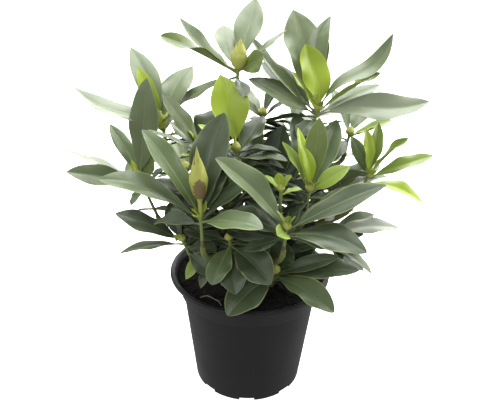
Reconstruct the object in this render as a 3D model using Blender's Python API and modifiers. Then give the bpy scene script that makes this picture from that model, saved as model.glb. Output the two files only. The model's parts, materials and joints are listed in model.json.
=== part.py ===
"""Potted rhododendron: a nursery pot, its soil, the woody limbs and one mass of leaves for each shoot.

Sizes are in millimetres and become metres when a mesh is made. +Z is up, -Y is the front that the photo
shows, and the origin is the centre of the pot's base. A bearing turns from the front round to +X and a rise
is measured from level, both in degrees.
"""

import math
import random

import bmesh
import bpy
import numpy as np
from mathutils.bvhtree import BVHTree

MM = 0.001
SEED = 7068
GAP = 0.3

# Pot: a standard five litre container
RIM_RADIUS = 115.0
POT_HEIGHT = 179.0
BASE_RADIUS = 79.0
LIP_HEIGHT = 5.0
LIP_WIDTH = 6.0
LIP_ROUND = 1.4
COLLAR_TOP_RADIUS = 107.0
COLLAR_FOOT_RADIUS = 100.5
COLLAR_FOOT = 147.0
WALL_TOP_RADIUS = 96.5
WALL = 1.8
FLOOR = 2.5
NOTCHES = 8
NOTCH_WIDTH = 22.0
NOTCH_HEIGHT = 5.0
NOTCH_DEPTH = 6.0
POT_SIDES = 40

# Soil
SOIL_TOP = 167.5
SOIL_HUMP = 0.5
SOIL_CROWN_RADIUS = 16.0
SOIL_SLOPE_RADIUS = 70.0

# Trunk, boughs and shoots
TRUNK_FOOT = (-3.0, 6.0, SOIL_TOP + SOIL_HUMP)
TRUNK_TIP = (0.0, 10.0, 226.0)
TRUNK_RADII = (8.5, 6.5)
TRUNK_FLARE = 3.5
FLARE_POWER = 6
BOUGH_SPAN = 0.36
BOUGH_INSET = 0.6
CLEARING_STEP = 0.05
LIMB_SIDES = 6
LIMB_STEPS = 6
SHOOT_RADII = (2.3, 1.9)
SHOOT_SIDES = 5

# Leaves
PETIOLE = 0.1
PETIOLE_RADIUS = 1.1
PETIOLE_FADE = 5.0
LEAF_THICKNESS = 1.4
WIDEST_AT = 0.56
POINTED = 0.88
FOLD = 14.0
STATIONS = (0.0, 0.1, 0.35, 0.62, 0.84, 1.0)
WHORL_DEPTH = 12.0
GOLDEN_TURN = 137.5
BUD_PROFILE = ((0.0, 0.45), (0.12, 0.8), (0.35, 1.0), (0.62, 0.72), (0.85, 0.3))
FLOWER_PROFILE = ((0.0, 0.24), (0.22, 0.3), (0.4, 0.78), (0.55, 1.0), (0.78, 0.5))

# Small turns and lifts, in degrees, that a leaf may take to keep clear of its neighbours
NUDGES = [
    (0, 0), (4, 0), (-4, 0), (0, 4), (0, -4), (7, 3),
    (-7, 3), (7, -4), (-7, -4), (12, 0), (-12, 0), (0, 10),
]


def bearing_vector(bearing, rise):
    """The unit vector of a bearing and a rise."""
    b = math.radians(bearing)
    r = math.radians(rise)
    return np.array([math.sin(b) * math.cos(r), -math.cos(b) * math.cos(r), math.sin(r)])


def leaf(
    bearing, rise, length, width, roll=0, arch=0.05, ess=0.0,
    twist=0, hook=0.0, curl=0.0, point=POINTED, tone="grown",
):
    """One leaf's own sizes: where it points, how long and wide it is, how it bends and how its tip turns."""
    return dict(
        bearing=bearing, rise=rise, length=length, width=width, roll=roll,
        arch=arch, ess=ess, twist=twist, hook=hook, curl=curl, point=point, tone=tone,
    )


def ring(count, first, rise, length):
    """A full whorl by rule: count leaves round the shoot, each a little unlike the last."""
    rng = random.Random(SEED + first)
    leaves = []
    for i in range(count):
        leaves.append(leaf(
            (first + GOLDEN_TURN * i) % 360,
            rise + 9 * (i % 3) + rng.uniform(-4, 4),
            length * rng.uniform(0.82, 1.0),
            length * rng.uniform(0.28, 0.33),
            roll=rng.uniform(-15, 15),
            arch=rng.uniform(0.03, 0.09),
        ))
    return leaves


# Each shoot's whorl of leaves: its place, the bearing and lean of its axis, its length of green stem,
# its bud's length and radius, and its leaves
SHOOTS = {
    "top": dict(
        at=(-21, 0, 472), lean=(90, 4), stem=40, bud=(38, 10), leaves=[
            leaf(272, 24, 106, 34, roll=32, twist=80, point=0.7, tone="olive"),
            leaf(267, 38, 96, 28, roll=-15, arch=-0.06, curl=0.08),
            leaf(197, 30, 87, 36, point=0.95),
            leaf(160, 42, 114, 36, arch=0.03, hook=-0.08, point=1.15),
            leaf(56, 36, 46, 28, roll=70, arch=-0.08, tone="olive"),
            leaf(249, -30, 111, 22, roll=-35, arch=0.03, tone="grey"),
            leaf(128, 28, 90, 16, roll=-15, arch=0.02),
            leaf(10, -22, 42, 24, roll=-20, tone="deep"),
        ]),
    "back_top": dict(
        at=(12, 70, 388), lean=(180, 10), stem=30, bud=(14, 6), leaves=[
            leaf(300, 40, 50, 16, roll=-60),
            leaf(80, 14, 56, 14, tone="deep"),
            leaf(150, 40, 66, 20, tone="deep"),
            leaf(215, 25, 70, 22),
            leaf(110, 30, 60, 20, tone="deep"),
        ]),
    "up_left": dict(
        at=(-118, -10, 394), lean=(280, 12), stem=36, bud=(26, 7), leaves=[
            leaf(275, 23, 124, 34, roll=-25, twist=-30, arch=0.03, ess=0.04, curl=0.09),
            leaf(211, 47, 125, 34, roll=10, hook=-0.05, point=1.05),
            leaf(246, 66, 82, 22, roll=-5, tone="young"),
            leaf(167, 43, 103, 42, roll=15, hook=0.16, point=1.1),
            leaf(8, 12, 27, 26, roll=15, arch=-0.15, tone="half"),
            leaf(185, 8, 80, 28),
        ]),
    "left": dict(
        at=(-149, -20, 324), lean=(285, 20), stem=62, bud=(22, 6), leaves=[
            leaf(56, 83, 140, 38, roll=70, arch=0.04, point=0.8, tone="grey"),
            leaf(223, 40, 93, 22, roll=10),
            leaf(252, 13, 119, 20, roll=25, arch=0.03),
            leaf(289, 16, 98, 32, roll=-40),
            leaf(89, 71, 46, 28, roll=60, tone="olive"),
            leaf(200, 5, 80, 28),
            leaf(335, -25, 34, 16),
        ]),
    "centre_left": dict(
        at=(-62, -100, 312), lean=(330, 4), stem=46, bud=(94, 11), flower=True, leaves=[
            leaf(247, 53, 128, 36, roll=-5, arch=0.06, point=0.75),
            leaf(275, 28, 132, 42, roll=5, twist=30, arch=0.06, point=0.75),
            leaf(55, 12, 95, 36, roll=10, arch=0.1, point=0.7),
            leaf(152, 63, 132, 46, roll=10, point=0.8, tone="old"),
            leaf(345, 35, 26, 12, tone="young"),
            leaf(152, 38, 86, 30, tone="deep"),
            leaf(245, -12, 72, 36, tone="deep"),
            leaf(178, 45, 78, 30, tone="deep"),
            leaf(118, 24, 82, 30, tone="deep"),
        ]),
    "middle": dict(
        at=(-21, -40, 377), lean=(230, 8), stem=28, bud=(14, 5), leaves=[
            leaf(225, 71, 96, 50, roll=-25, arch=0.03, point=1.05, tone="young"),
            leaf(262, 35, 60, 20, roll=-20, tone="young"),
            leaf(150, 25, 74, 34, tone="deep"),
            leaf(75, 5, 66, 32, tone="deep"),
        ]),
    "middle_left": dict(
        at=(-64, -34, 369), lean=(250, 8), stem=30, bud=(14, 5), leaves=[
            leaf(153, 38, 78, 54, roll=10, tone="deep"),
            leaf(291, 31, 83, 14, roll=-15, tone="grey"),
            leaf(245, 49, 92, 26, roll=-15, arch=0.07, tone="grey"),
            leaf(235, 32, 66, 26, roll=5, tone="grey"),
            leaf(100, -5, 75, 34, tone="deep"),
            leaf(330, 20, 46, 22, tone="half"),
        ]),
    "upright": dict(
        at=(85, 30, 410), lean=(95, 8), stem=42, bud=(18, 6), leaves=[
            leaf(270, 77, 90, 42, roll=-65, arch=0.06, ess=0.05, point=0.75, tone="young"),
            leaf(208, 58, 142, 60, roll=-20, point=0.95),
            leaf(199, 65, 125, 34, roll=-15, hook=0.27),
            leaf(96, 41, 138, 30, roll=10, twist=-40, ess=0.06, curl=0.12, point=0.95),
            leaf(90, 34, 98, 24, roll=-50, twist=-100, tone="half"),
            leaf(109, 17, 98, 28, roll=15, curl=0.06),
            leaf(78, 9, 148, 40, roll=40, ess=0.04, hook=-0.09),
            leaf(263, 52, 135, 28, roll=-20, arch=-0.05),
            leaf(276, 30, 105, 32, roll=-35),
            leaf(240, 52, 65, 22, roll=-5, tone="young"),
            leaf(231, 31, 111, 36, roll=-25, tone="deep"),
            leaf(140, -5, 80, 28),
            leaf(185, 20, 95, 30),
            leaf(330, -20, 50, 24, tone="deep"),
        ]),
    "back_right": dict(
        at=(139, 80, 359), lean=(120, 10), stem=30, bud=(14, 6), leaves=[
            leaf(90, 25, 44, 20, tone="half"),
            leaf(90, 24, 66, 16, roll=30, tone="half"),
            leaf(150, 35, 80, 28),
            leaf(200, 40, 85, 28),
            leaf(260, 15, 70, 26),
        ]),
    "right": dict(
        at=(159, 10, 324), lean=(90, 18), stem=36, bud=(14, 6), leaves=[
            leaf(310, 78, 75, 20, roll=-65, tone="young"),
            leaf(157, 73, 75, 22, roll=-15, tone="half"),
            leaf(248, 65, 62, 22, roll=-45),
            leaf(90, 50, 75, 24, roll=-40, twist=-80, tone="half"),
            leaf(83, 24, 93, 26, roll=25, tone="half"),
            leaf(74, -12, 81, 28, roll=15, arch=0.08, tone="young"),
            leaf(165, 5, 80, 28),
        ]),
    "centre_right": dict(
        at=(75, -40, 323), lean=(40, 6), stem=36, bud=(16, 6), leaves=[
            leaf(309, 76, 67, 18, roll=-70, tone="young"),
            leaf(157, 77, 96, 30, roll=15, tone="olive"),
            leaf(256, 57, 76, 20, roll=-10, tone="half"),
            leaf(84, 39, 64, 28, roll=25, tone="half"),
            leaf(219, 72, 84, 16, roll=-5, tone="young"),
            leaf(151, 44, 110, 38, roll=-10),
            leaf(195, 50, 112, 38, tone="deep"),
            leaf(100, -5, 80, 32, tone="deep"),
        ]),
    "tulip": dict(
        at=(36, -80, 341), lean=(0, 4), stem=34, bud=(12, 4), leaves=[
            leaf(262, 45, 30, 12, tone="half"),
            leaf(330, 68, 28, 12, roll=40, tone="young"),
            leaf(60, 60, 28, 12, roll=40, tone="half"),
            leaf(90, 20, 27, 12, tone="half"),
        ]),
    "heart": dict(
        at=(24, -6, 293), lean=(300, 8), stem=34, bud=(12, 5), leaves=[
            leaf(158, 65, 103, 42, roll=10, tone="deep"),
            leaf(230, 63, 104, 44, roll=5),
            leaf(200, 40, 95, 36, tone="deep"),
            leaf(100, 20, 90, 32, tone="deep"),
            leaf(20, 30, 60, 28, tone="deep"),
            leaf(130, 40, 90, 32, tone="deep"),
        ]),
    "front": dict(
        at=(44, -100, 298), lean=(20, 10), stem=36, bud=(14, 5), leaves=[
            leaf(264, 47, 127, 40, roll=-15, arch=0.06, point=0.75),
            leaf(92, 30, 135, 34, roll=10, tone="deep"),
            leaf(112, 24, 120, 34, roll=-10, tone="deep"),
            leaf(66, 2, 104, 40, roll=15, arch=0.09, point=0.8, tone="deep"),
            leaf(339, 20, 34, 24, roll=-30, tone="half"),
            leaf(82, -8, 84, 36, roll=5, tone="deep"),
        ]),
    "low_right": dict(
        at=(104, -10, 241), lean=(80, 30), stem=30, bud=(12, 5), leaves=[
            leaf(89, 9, 105, 32, roll=5, arch=0.08, tone="silver"),
            leaf(85, 8, 56, 24, roll=20, tone="grey"),
            leaf(55, -6, 58, 28, tone="deep"),
            leaf(59, -17, 84, 26, roll=5, tone="grey"),
            leaf(75, -30, 74, 26, roll=20),
            leaf(120, 10, 90, 30),
            leaf(30, -8, 50, 26, tone="deep"),
        ]),
    "low": dict(
        at=(33, -60, 211), lean=(10, 20), stem=26, bud=(16, 7), leaves=[
            leaf(48, -6, 103, 38, roll=5, point=0.7),
            leaf(325, -4, 103, 44, point=0.75),
            leaf(83, 8, 115, 38, tone="deep"),
            leaf(88, 20, 92, 24, roll=10, tone="deep"),
            leaf(150, 48, 46, 40, roll=-10, arch=-0.08, tone="green"),
            leaf(130, 15, 80, 30, tone="deep"),
        ]),
    "low_left": dict(
        at=(-28, -70, 265), lean=(330, 15), stem=34, bud=(12, 5), leaves=[
            leaf(330, -30, 62, 32, point=0.7),
            leaf(45, -19, 80, 46, roll=10, tone="deep"),
            leaf(10, -38, 68, 36, tone="deep"),
            leaf(110, 5, 60, 30, tone="deep"),
        ]),
    "soil_left": dict(
        at=(-48, -40, 230), lean=(300, 20), stem=26, bud=(10, 4), leaves=[
            leaf(310, -17, 56, 28, arch=0.12, tone="half"),
            leaf(325, -38, 50, 20, tone="deep"),
            leaf(240, 10, 60, 28, tone="deep"),
        ]),
    "left_low": dict(
        at=(-91, -50, 250), lean=(290, 20), stem=34, bud=(12, 5), leaves=[
            leaf(270, 24, 98, 36, roll=-5, tone="deep"),
            leaf(286, 1, 86, 24, roll=5),
            leaf(330, 45, 24, 10, tone="young"),
            leaf(200, 20, 80, 30, tone="deep"),
            leaf(60, 10, 50, 28, tone="deep"),
        ]),
    "inner": dict(
        at=(-32, -14, 286), lean=(320, 8), stem=28, bud=(14, 6), leaves=ring(8, 300, 32, 92)),
    "inner_right": dict(
        at=(114, 30, 288), lean=(100, 20), stem=30, bud=(14, 6), leaves=ring(7, 75, 24, 92)),
    "back_left": dict(
        at=(-98, 86, 292), lean=(235, 18), stem=34, bud=(20, 7), leaves=ring(7, 200, 12, 105)),
    "back_high": dict(
        at=(62, 118, 352), lean=(165, 25), stem=32, bud=(16, 6), leaves=[
            leaf(100, 12, 80, 26),
            leaf(145, 5, 90, 28),
            leaf(190, 0, 92, 28),
            leaf(230, 8, 62, 24),
            leaf(172, 36, 78, 26),
        ]),
    "back_high_left": dict(
        at=(-48, 98, 342), lean=(200, 25), stem=32, bud=(16, 6), leaves=[
            leaf(150, 4, 88, 28),
            leaf(195, 0, 92, 28),
            leaf(238, 4, 76, 26),
            leaf(180, 34, 70, 24),
        ]),
    "back": dict(
        at=(-24, 142, 280), lean=(190, 16), stem=34, bud=(22, 8), leaves=ring(8, 120, 16, 108)),
    "back_far_right": dict(
        at=(92, 130, 284), lean=(150, 18), stem=34, bud=(20, 7), leaves=ring(8, 60, 14, 105)),
    "back_low_left": dict(
        at=(-88, 62, 232), lean=(235, 35), stem=30, bud=(14, 6), leaves=ring(6, 140, 2, 95)),
    "back_low_right": dict(
        at=(82, 78, 236), lean=(130, 35), stem=30, bud=(14, 6), leaves=ring(6, 40, 2, 95)),
}

# Boughs: the limb that each one leaves, how far along, the bearing and rise it sets off at, and its radii
BOUGHS = {
    "top": ("trunk", 1.0, 0, 88, 5.2, 2.7),
    "upright": ("top", 0.16, 85, 40, 4.4, 2.7),
    "up_left": ("trunk", 0.84, 278, 34, 4.4, 2.7),
    "left": ("up_left", 0.3, 300, 25, 3.4, 2.6),
    "centre_left": ("trunk", 0.68, 325, 40, 4.4, 2.7),
    "middle": ("top", 0.5, 240, 50, 2.9, 2.5),
    "middle_left": ("centre_left", 0.32, 300, 70, 3.0, 2.5),
    "back_top": ("top", 0.36, 165, 45, 3.0, 2.5),
    "back_right": ("upright", 0.45, 150, 35, 3.0, 2.5),
    "back_high": ("top", 0.22, 160, 45, 3.0, 2.5),
    "back_high_left": ("top", 0.28, 215, 45, 3.0, 2.5),
    "right": ("trunk", 0.84, 95, 30, 4.4, 2.7),
    "centre_right": ("trunk", 0.7, 55, 45, 4.0, 2.7),
    "heart": ("top", 0.08, 130, 45, 3.2, 2.6),
    "inner": ("top", 0.05, 300, 30, 3.0, 2.5),
    "inner_right": ("right", 0.4, 80, 55, 2.9, 2.5),
    "front": ("trunk", 0.52, 12, 38, 4.2, 2.7),
    "tulip": ("front", 0.5, 350, 75, 3.0, 2.5),
    "low_right": ("trunk", 0.36, 92, 30, 3.6, 2.6),
    "low": ("trunk", 0.24, 40, 25, 3.6, 2.6),
    "low_left": ("trunk", 0.34, 332, 30, 3.6, 2.6),
    "soil_left": ("trunk", 0.14, 295, 30, 3.2, 2.5),
    "left_low": ("trunk", 0.5, 280, 30, 3.6, 2.6),
    "back_left": ("trunk", 0.72, 235, 40, 3.8, 2.6),
    "back": ("trunk", 0.8, 185, 45, 4.0, 2.6),
    "back_far_right": ("trunk", 0.68, 140, 42, 4.0, 2.6),
    "back_low_left": ("trunk", 0.34, 238, 30, 3.4, 2.6),
    "back_low_right": ("trunk", 0.32, 138, 28, 3.4, 2.6),
}

# Colours, with roughness, as the photo shows them
COLOURS = {
    "pot": ((0.025, 0.027, 0.029), 0.45),
    "soil": ((0.018, 0.015, 0.012), 0.95),
    "bark": ((0.16, 0.13, 0.08), 0.85),
    "leaves": ((0.09, 0.16, 0.07), 0.5),
}


def unit(vector):
    return vector / np.linalg.norm(vector)


def material(name):
    colour, roughness = COLOURS[name]
    made = bpy.data.materials.new(name)
    made.use_nodes = True
    shader = made.node_tree.nodes["Principled BSDF"]
    shader.inputs["Base Color"].default_value = (*colour, 1.0)
    shader.inputs["Roughness"].default_value = roughness
    shader.inputs["Metallic"].default_value = 0.0
    return made


def mesh_object(name, points, faces, collection, look=None):
    """A mesh object from points in millimetres."""
    mesh = bpy.data.meshes.new(name)
    mesh.from_pydata([tuple(p * MM) for p in points], [], faces)
    bm = bmesh.new()
    bm.from_mesh(mesh)
    bmesh.ops.recalc_face_normals(bm, faces=bm.faces)
    bm.to_mesh(mesh)
    bm.free()
    obj = bpy.data.objects.new(name, mesh)
    collection.objects.link(obj)
    if look:
        mesh.materials.append(look)
    return obj


def loft(rings):
    """Points and faces of a closed body through rings of points. A ring of one point is a tip."""
    points = np.vstack(rings)
    starts = np.cumsum([0] + [len(ring) for ring in rings])
    faces = []
    for low, high, start, above in zip(rings, rings[1:], starts, starts[1:]):
        count = max(len(low), len(high))
        for i in range(count):
            j = (i + 1) % count
            if len(high) == 1:
                faces.append((start + i, start + j, above))
            elif len(low) == 1:
                faces.append((start, above + j, above + i))
            else:
                faces.append((start + i, start + j, above + j))
                faces.append((start + i, above + j, above + i))
    if len(rings[0]) > 1:
        faces.append(tuple(range(len(rings[0])))[::-1])
    if len(rings[-1]) > 1:
        faces.append(tuple(range(starts[-2], starts[-1])))
    return points, faces


def across(direction):
    """Two unit vectors square to a direction and to each other."""
    side = np.cross(direction, (0.0, 1.0, 0.0) if abs(direction[1]) < 0.9 else (1.0, 0.0, 0.0))
    side = unit(side)
    return side, np.cross(direction, side)


def circle(centre, direction, radius, sides):
    u, v = across(direction)
    turns = [2 * math.pi * i / sides for i in range(sides)]
    return np.array([centre + radius * (math.cos(t) * u + math.sin(t) * v) for t in turns])


def bezier(p0, p1, p2, p3, t):
    s = 1 - t
    return s**3 * p0 + 3 * s * s * t * p1 + 3 * s * t * t * p2 + t**3 * p3


def turned(name, profile, steps, collection, look):
    """A solid of revolution: a profile of radius and height, spun by a Screw modifier."""
    points = [np.array([r, 0.0, z]) for r, z in profile]
    mesh = bpy.data.meshes.new(name)
    edges = [(i, i + 1) for i in range(len(points) - 1)]
    mesh.from_pydata([tuple(p * MM) for p in points], edges, [])
    obj = bpy.data.objects.new(name, mesh)
    collection.objects.link(obj)
    mesh.materials.append(look)
    screw = obj.modifiers.new("Spin", "SCREW")
    screw.axis = "Z"
    screw.steps = steps
    screw.render_steps = steps
    screw.use_merge_vertices = True
    screw.merge_threshold = 0.0001
    screw.use_normal_calculate = True
    return obj


def inner_wall():
    """The pot's inside from its floor to under the lip, as radius and height."""
    return [
        (BASE_RADIUS - WALL, FLOOR),
        (WALL_TOP_RADIUS - WALL, COLLAR_FOOT - 3.0),
        (COLLAR_FOOT_RADIUS - WALL, COLLAR_FOOT + 1.0),
        (COLLAR_TOP_RADIUS - WALL, POT_HEIGHT - LIP_HEIGHT),
    ]


def build_pot(parts, cutters):
    """A black container: tapered wall, stepped collar, rolled lip and drain notches at the foot."""
    lip_foot = POT_HEIGHT - LIP_HEIGHT
    rim_inside = RIM_RADIUS - LIP_WIDTH
    outside = [
        (rim_inside, POT_HEIGHT - LIP_ROUND),
        (rim_inside + LIP_ROUND, POT_HEIGHT),
        (RIM_RADIUS - LIP_ROUND, POT_HEIGHT),
        (RIM_RADIUS, POT_HEIGHT - LIP_ROUND),
        (RIM_RADIUS, lip_foot + LIP_ROUND),
        (RIM_RADIUS - LIP_ROUND, lip_foot),
        (COLLAR_TOP_RADIUS, lip_foot),
        (COLLAR_FOOT_RADIUS, COLLAR_FOOT),
        (WALL_TOP_RADIUS, COLLAR_FOOT - 2.0),
        (BASE_RADIUS + 0.3, 3.0),
        (BASE_RADIUS - 1.2, 0.0),
        (0.0, 0.0),
    ]
    profile = outside + [(0.0, FLOOR)] + inner_wall() + outside[:1]
    pot = turned("pot", profile[::-1], POT_SIDES, parts, material("pot"))
    for i in range(NOTCHES):
        bpy.ops.mesh.primitive_cube_add(size=1)
        cutter = bpy.context.object
        cutter.name = f"notch_{i}"
        angle = 2 * math.pi * i / NOTCHES + math.pi / 2
        reach = BASE_RADIUS - NOTCH_DEPTH / 2 + 1.0
        cutter.location = (reach * math.cos(angle) * MM, reach * math.sin(angle) * MM, 0.0)
        cutter.rotation_euler = (0.0, 0.0, angle)
        cutter.scale = (NOTCH_DEPTH * MM, NOTCH_WIDTH * MM, 2 * NOTCH_HEIGHT * MM)
        for collection in cutter.users_collection:
            collection.objects.unlink(cutter)
        cutters.objects.link(cutter)
        cutter.hide_render = True
        cutter.display_type = "WIRE"
    cut = pot.modifiers.new("Notches", "BOOLEAN")
    cut.operation = "DIFFERENCE"
    cut.operand_type = "COLLECTION"
    cut.collection = cutters
    return pot


def build_soil(parts):
    """Potting soil that fills the pot to a little below its rim, highest round the stem."""
    floor, low_step, high_step, top = inner_wall()
    share = (SOIL_TOP - high_step[1]) / (top[1] - high_step[1])
    edge = high_step[0] + (top[0] - high_step[0]) * share
    profile = [
        (0.0, SOIL_TOP + SOIL_HUMP),
        (SOIL_CROWN_RADIUS, SOIL_TOP + SOIL_HUMP),
        (SOIL_SLOPE_RADIUS, SOIL_TOP + SOIL_HUMP / 3),
        (edge - GAP, SOIL_TOP),
        (high_step[0] - GAP, high_step[1] + GAP),
        (low_step[0] - GAP, low_step[1] + GAP),
        (floor[0] - GAP, FLOOR + GAP),
        (0.0, FLOOR + GAP),
    ]
    return turned("soil", profile, POT_SIDES, parts, material("soil"))


class Limb:
    """A tapering limb along a Bezier curve, from its foot to its tip."""

    def __init__(self, points, radii, flare=0.0):
        self.controls = [np.array(p, float) for p in points]
        self.radii = radii
        self.flare = flare

    def place(self, t):
        return bezier(*self.controls, t)

    def radius(self, t):
        return self.radii[0] + (self.radii[1] - self.radii[0]) * t + self.flare * (1 - t) ** FLARE_POWER

    def body(self):
        steps = [i / LIMB_STEPS for i in range(LIMB_STEPS + 1)]
        rings = []
        for t in steps:
            ahead = self.place(min(t + 0.02, 1.0)) - self.place(max(t - 0.02, 0.0))
            rings.append(circle(self.place(t), unit(ahead), self.radius(t), LIMB_SIDES))
        return loft(rings)


class Placed:
    """The bodies placed so far, with a search tree for each, so that a new one can keep clear."""

    def __init__(self):
        self.items = []

    def add(self, owner, points, faces):
        tree = BVHTree.FromPolygons([tuple(p) for p in points], faces)
        self.items.append((owner, points.min(axis=0), points.max(axis=0), tree))

    def touches(self, owner, points, faces):
        low = points.min(axis=0) - GAP
        high = points.max(axis=0) + GAP
        tree = BVHTree.FromPolygons([tuple(p) for p in points], faces)
        for other, other_low, other_high, other_tree in self.items:
            if other == owner or (low > other_high).any() or (high < other_low).any():
                continue
            if tree.overlap(other_tree):
                return other
        return None


def nearest_gap(points, tree):
    return min(tree.find_nearest(tuple(p))[3] for p in points)


def shoot_axis(shoot):
    bearing, lean = shoot["lean"]
    return bearing_vector(bearing, 90 - lean)


def build_limbs():
    """The trunk and one bough for each shoot, each starting just clear of the limb that carries it."""
    foot = np.array(TRUNK_FOOT) + (0.0, 0.0, GAP)
    tip = np.array(TRUNK_TIP)
    upright = np.array((0.0, 0.0, (tip - foot)[2] / 3))
    limbs = {"trunk": Limb([foot, foot + upright, tip - upright, tip], TRUNK_RADII, TRUNK_FLARE)}
    bodies = {"trunk": limbs["trunk"].body()}
    for name, (carrier, along, bearing, rise, foot_radius, tip_radius) in BOUGHS.items():
        shoot = SHOOTS[name]
        axis = shoot_axis(shoot)
        tip = np.array(shoot["at"]) - axis * (shoot["stem"] + GAP + CLEARING_STEP)
        origin = limbs[carrier].place(along)
        heading = bearing_vector(bearing, rise)
        points, faces = bodies[carrier]
        tree = BVHTree.FromPolygons([tuple(p) for p in points], faces)
        offset = 0.0 if along == 1.0 else limbs[carrier].radius(along) * BOUGH_INSET
        while True:
            foot = origin + heading * offset
            span = np.linalg.norm(tip - foot) * BOUGH_SPAN
            limb = Limb([foot, foot + heading * span, tip - axis * span, tip], (foot_radius, tip_radius))
            points, faces = limb.body()
            crossing = BVHTree.FromPolygons([tuple(p) for p in points], faces).overlap(tree)
            if not crossing and nearest_gap(points[:LIMB_SIDES], tree) > GAP:
                break
            offset += CLEARING_STEP
        limbs[name] = limb
        bodies[name] = (points, faces)
    return limbs, bodies


def blade_width(t, point):
    """The blade's half width as a share of its widest, from foot to tip. A higher point draws the tip out."""
    if t <= 0 or t >= 1:
        return 0.0
    rise = point * WIDEST_AT / (1 - WIDEST_AT)
    return (t / WIDEST_AT) ** rise * ((1 - t) / (1 - WIDEST_AT)) ** point


def rolled(face, side, turn):
    """A leaf's upper side and its right-hand side, turned about its length by some degrees."""
    c = math.cos(math.radians(turn))
    s = math.sin(math.radians(turn))
    return face * c + side * s, side * c - face * s


def leaf_body(foot, sizes, axis, spare=0.0):
    """A leaf: a petiole and a folded blade lofted through lens-shaped sections."""
    along = bearing_vector(sizes["bearing"], sizes["rise"])
    face = axis - (axis @ along) * along
    face = unit(face) if np.linalg.norm(face) > 1e-6 else across(along)[0]
    side = np.cross(along, face)
    face, side = rolled(face, side, sizes["roll"])
    rings = []
    for s in STATIONS:
        bow = sizes["arch"] * 4 * s * (1 - s) + sizes["ess"] * math.sin(2 * math.pi * s)
        bow = bow + sizes["curl"] * s**4
        centre = foot + sizes["length"] * (s * along + bow * face + sizes["hook"] * s**4 * side)
        if s == STATIONS[-1]:
            rings.append(np.array([centre + along * spare]))
            continue
        half = sizes["width"] / 2 * blade_width((s - PETIOLE) / (1 - PETIOLE), sizes["point"])
        half = max(half, PETIOLE_RADIUS) + spare
        thick = max(LEAF_THICKNESS / 2, PETIOLE_RADIUS * (1 - s * PETIOLE_FADE)) + spare
        up, out = rolled(face, side, -sizes["twist"] * s * s)
        lift = half * math.tan(math.radians(FOLD)) if s > PETIOLE else 0.0
        rings.append(np.array([
            centre - out * half + up * lift,
            centre - up * thick,
            centre + out * half + up * lift,
            centre + up * thick,
        ]))
    return loft(rings)


def leaf_foot(shoot, sizes):
    """Flatter leaves leave the shoot lower down."""
    axis = shoot_axis(shoot)
    lean = max(0.0, axis @ bearing_vector(sizes["bearing"], sizes["rise"]))
    return np.array(shoot["at"]) - axis * WHORL_DEPTH * (1 - lean)


def stem_body(shoot):
    """The green stem under a whorl, from just above its bough to the foot of the bud."""
    axis = shoot_axis(shoot)
    top = np.array(shoot["at"], float)
    low = top - axis * shoot["stem"]
    return loft([
        circle(low, axis, SHOOT_RADII[0], SHOOT_SIDES),
        circle(low + axis * shoot["stem"] * 0.5, axis, SHOOT_RADII[1], SHOOT_SIDES),
        circle(top + axis * 2.0, axis, SHOOT_RADII[1], SHOOT_SIDES),
    ])


def bud_body(shoot):
    """A pointed bud on the shoot's tip."""
    axis = shoot_axis(shoot)
    length, radius = shoot["bud"]
    foot = np.array(shoot["at"]) - axis * 1.0
    rings = []
    for s, share in FLOWER_PROFILE if "flower" in shoot else BUD_PROFILE:
        rings.append(circle(foot + axis * length * s, axis, radius * share, SHOOT_SIDES))
    rings.append(np.array([foot + axis * length]))
    return loft(rings)


def place_leaves(limb_bodies):
    """Every shoot's leaves in turn. One that would touch another mass or a limb is turned or left out."""
    placed = Placed()
    for name, (points, faces) in limb_bodies.items():
        placed.add(name if name == "trunk" else "bough", points, faces)
    for name, shoot in SHOOTS.items():
        for points, faces in (stem_body(shoot), bud_body(shoot)):
            placed.add(name, points, faces)
    kept = {name: [] for name in SHOOTS}
    skipped = []
    most = max(len(shoot["leaves"]) for shoot in SHOOTS.values())
    for index in range(most):
        for name, shoot in SHOOTS.items():
            if index >= len(shoot["leaves"]):
                continue
            first = shoot["leaves"][index]
            axis = shoot_axis(shoot)
            for turn, lift in NUDGES:
                sizes = dict(first, bearing=first["bearing"] + turn, rise=first["rise"] + lift)
                foot = leaf_foot(shoot, sizes)
                if not placed.touches(name, *leaf_body(foot, sizes, axis, spare=GAP)):
                    placed.add(name, *leaf_body(foot, sizes, axis))
                    kept[name].append((foot, sizes))
                    break
            else:
                skipped.append((name, index))
    print("leaves kept:", sum(len(leaves) for leaves in kept.values()), "left out:", skipped)
    return kept


def fused(name, bodies, parts, look):
    """One body from several, by a union on a collection. Loose scraps are dropped."""
    scratch = bpy.data.collections.new("scratch")
    bpy.context.scene.collection.children.link(scratch)
    obj = mesh_object(name, *bodies[0], parts, look)
    for i, (points, faces) in enumerate(bodies[1:]):
        mesh_object(f"{name}_{i}", points, faces, scratch)
    union = obj.modifiers.new("Union", "BOOLEAN")
    union.operation = "UNION"
    union.operand_type = "COLLECTION"
    union.collection = scratch
    union.solver = "MANIFOLD"
    graph = bpy.context.evaluated_depsgraph_get()
    whole = bpy.data.meshes.new_from_object(obj.evaluated_get(graph))
    obj.modifiers.clear()
    obj.data = whole
    for helper in list(scratch.objects):
        bpy.data.objects.remove(helper)
    bpy.data.collections.remove(scratch)
    keep_largest(whole)
    return obj


def keep_largest(mesh):
    """Drops every piece of a mesh but the one with the most faces."""
    bm = bmesh.new()
    bm.from_mesh(mesh)
    left = set(bm.verts)
    pieces = []
    while left:
        piece = {left.pop()}
        edge = list(piece)
        while edge:
            for link in edge.pop().link_edges:
                for vert in link.verts:
                    if vert in left:
                        left.discard(vert)
                        piece.add(vert)
                        edge.append(vert)
        pieces.append(piece)
    pieces.sort(key=len)
    scraps = [vert for piece in pieces[:-1] for vert in piece]
    bmesh.ops.delete(bm, geom=scraps, context="VERTS")
    bm.to_mesh(mesh)
    bm.free()


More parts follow.
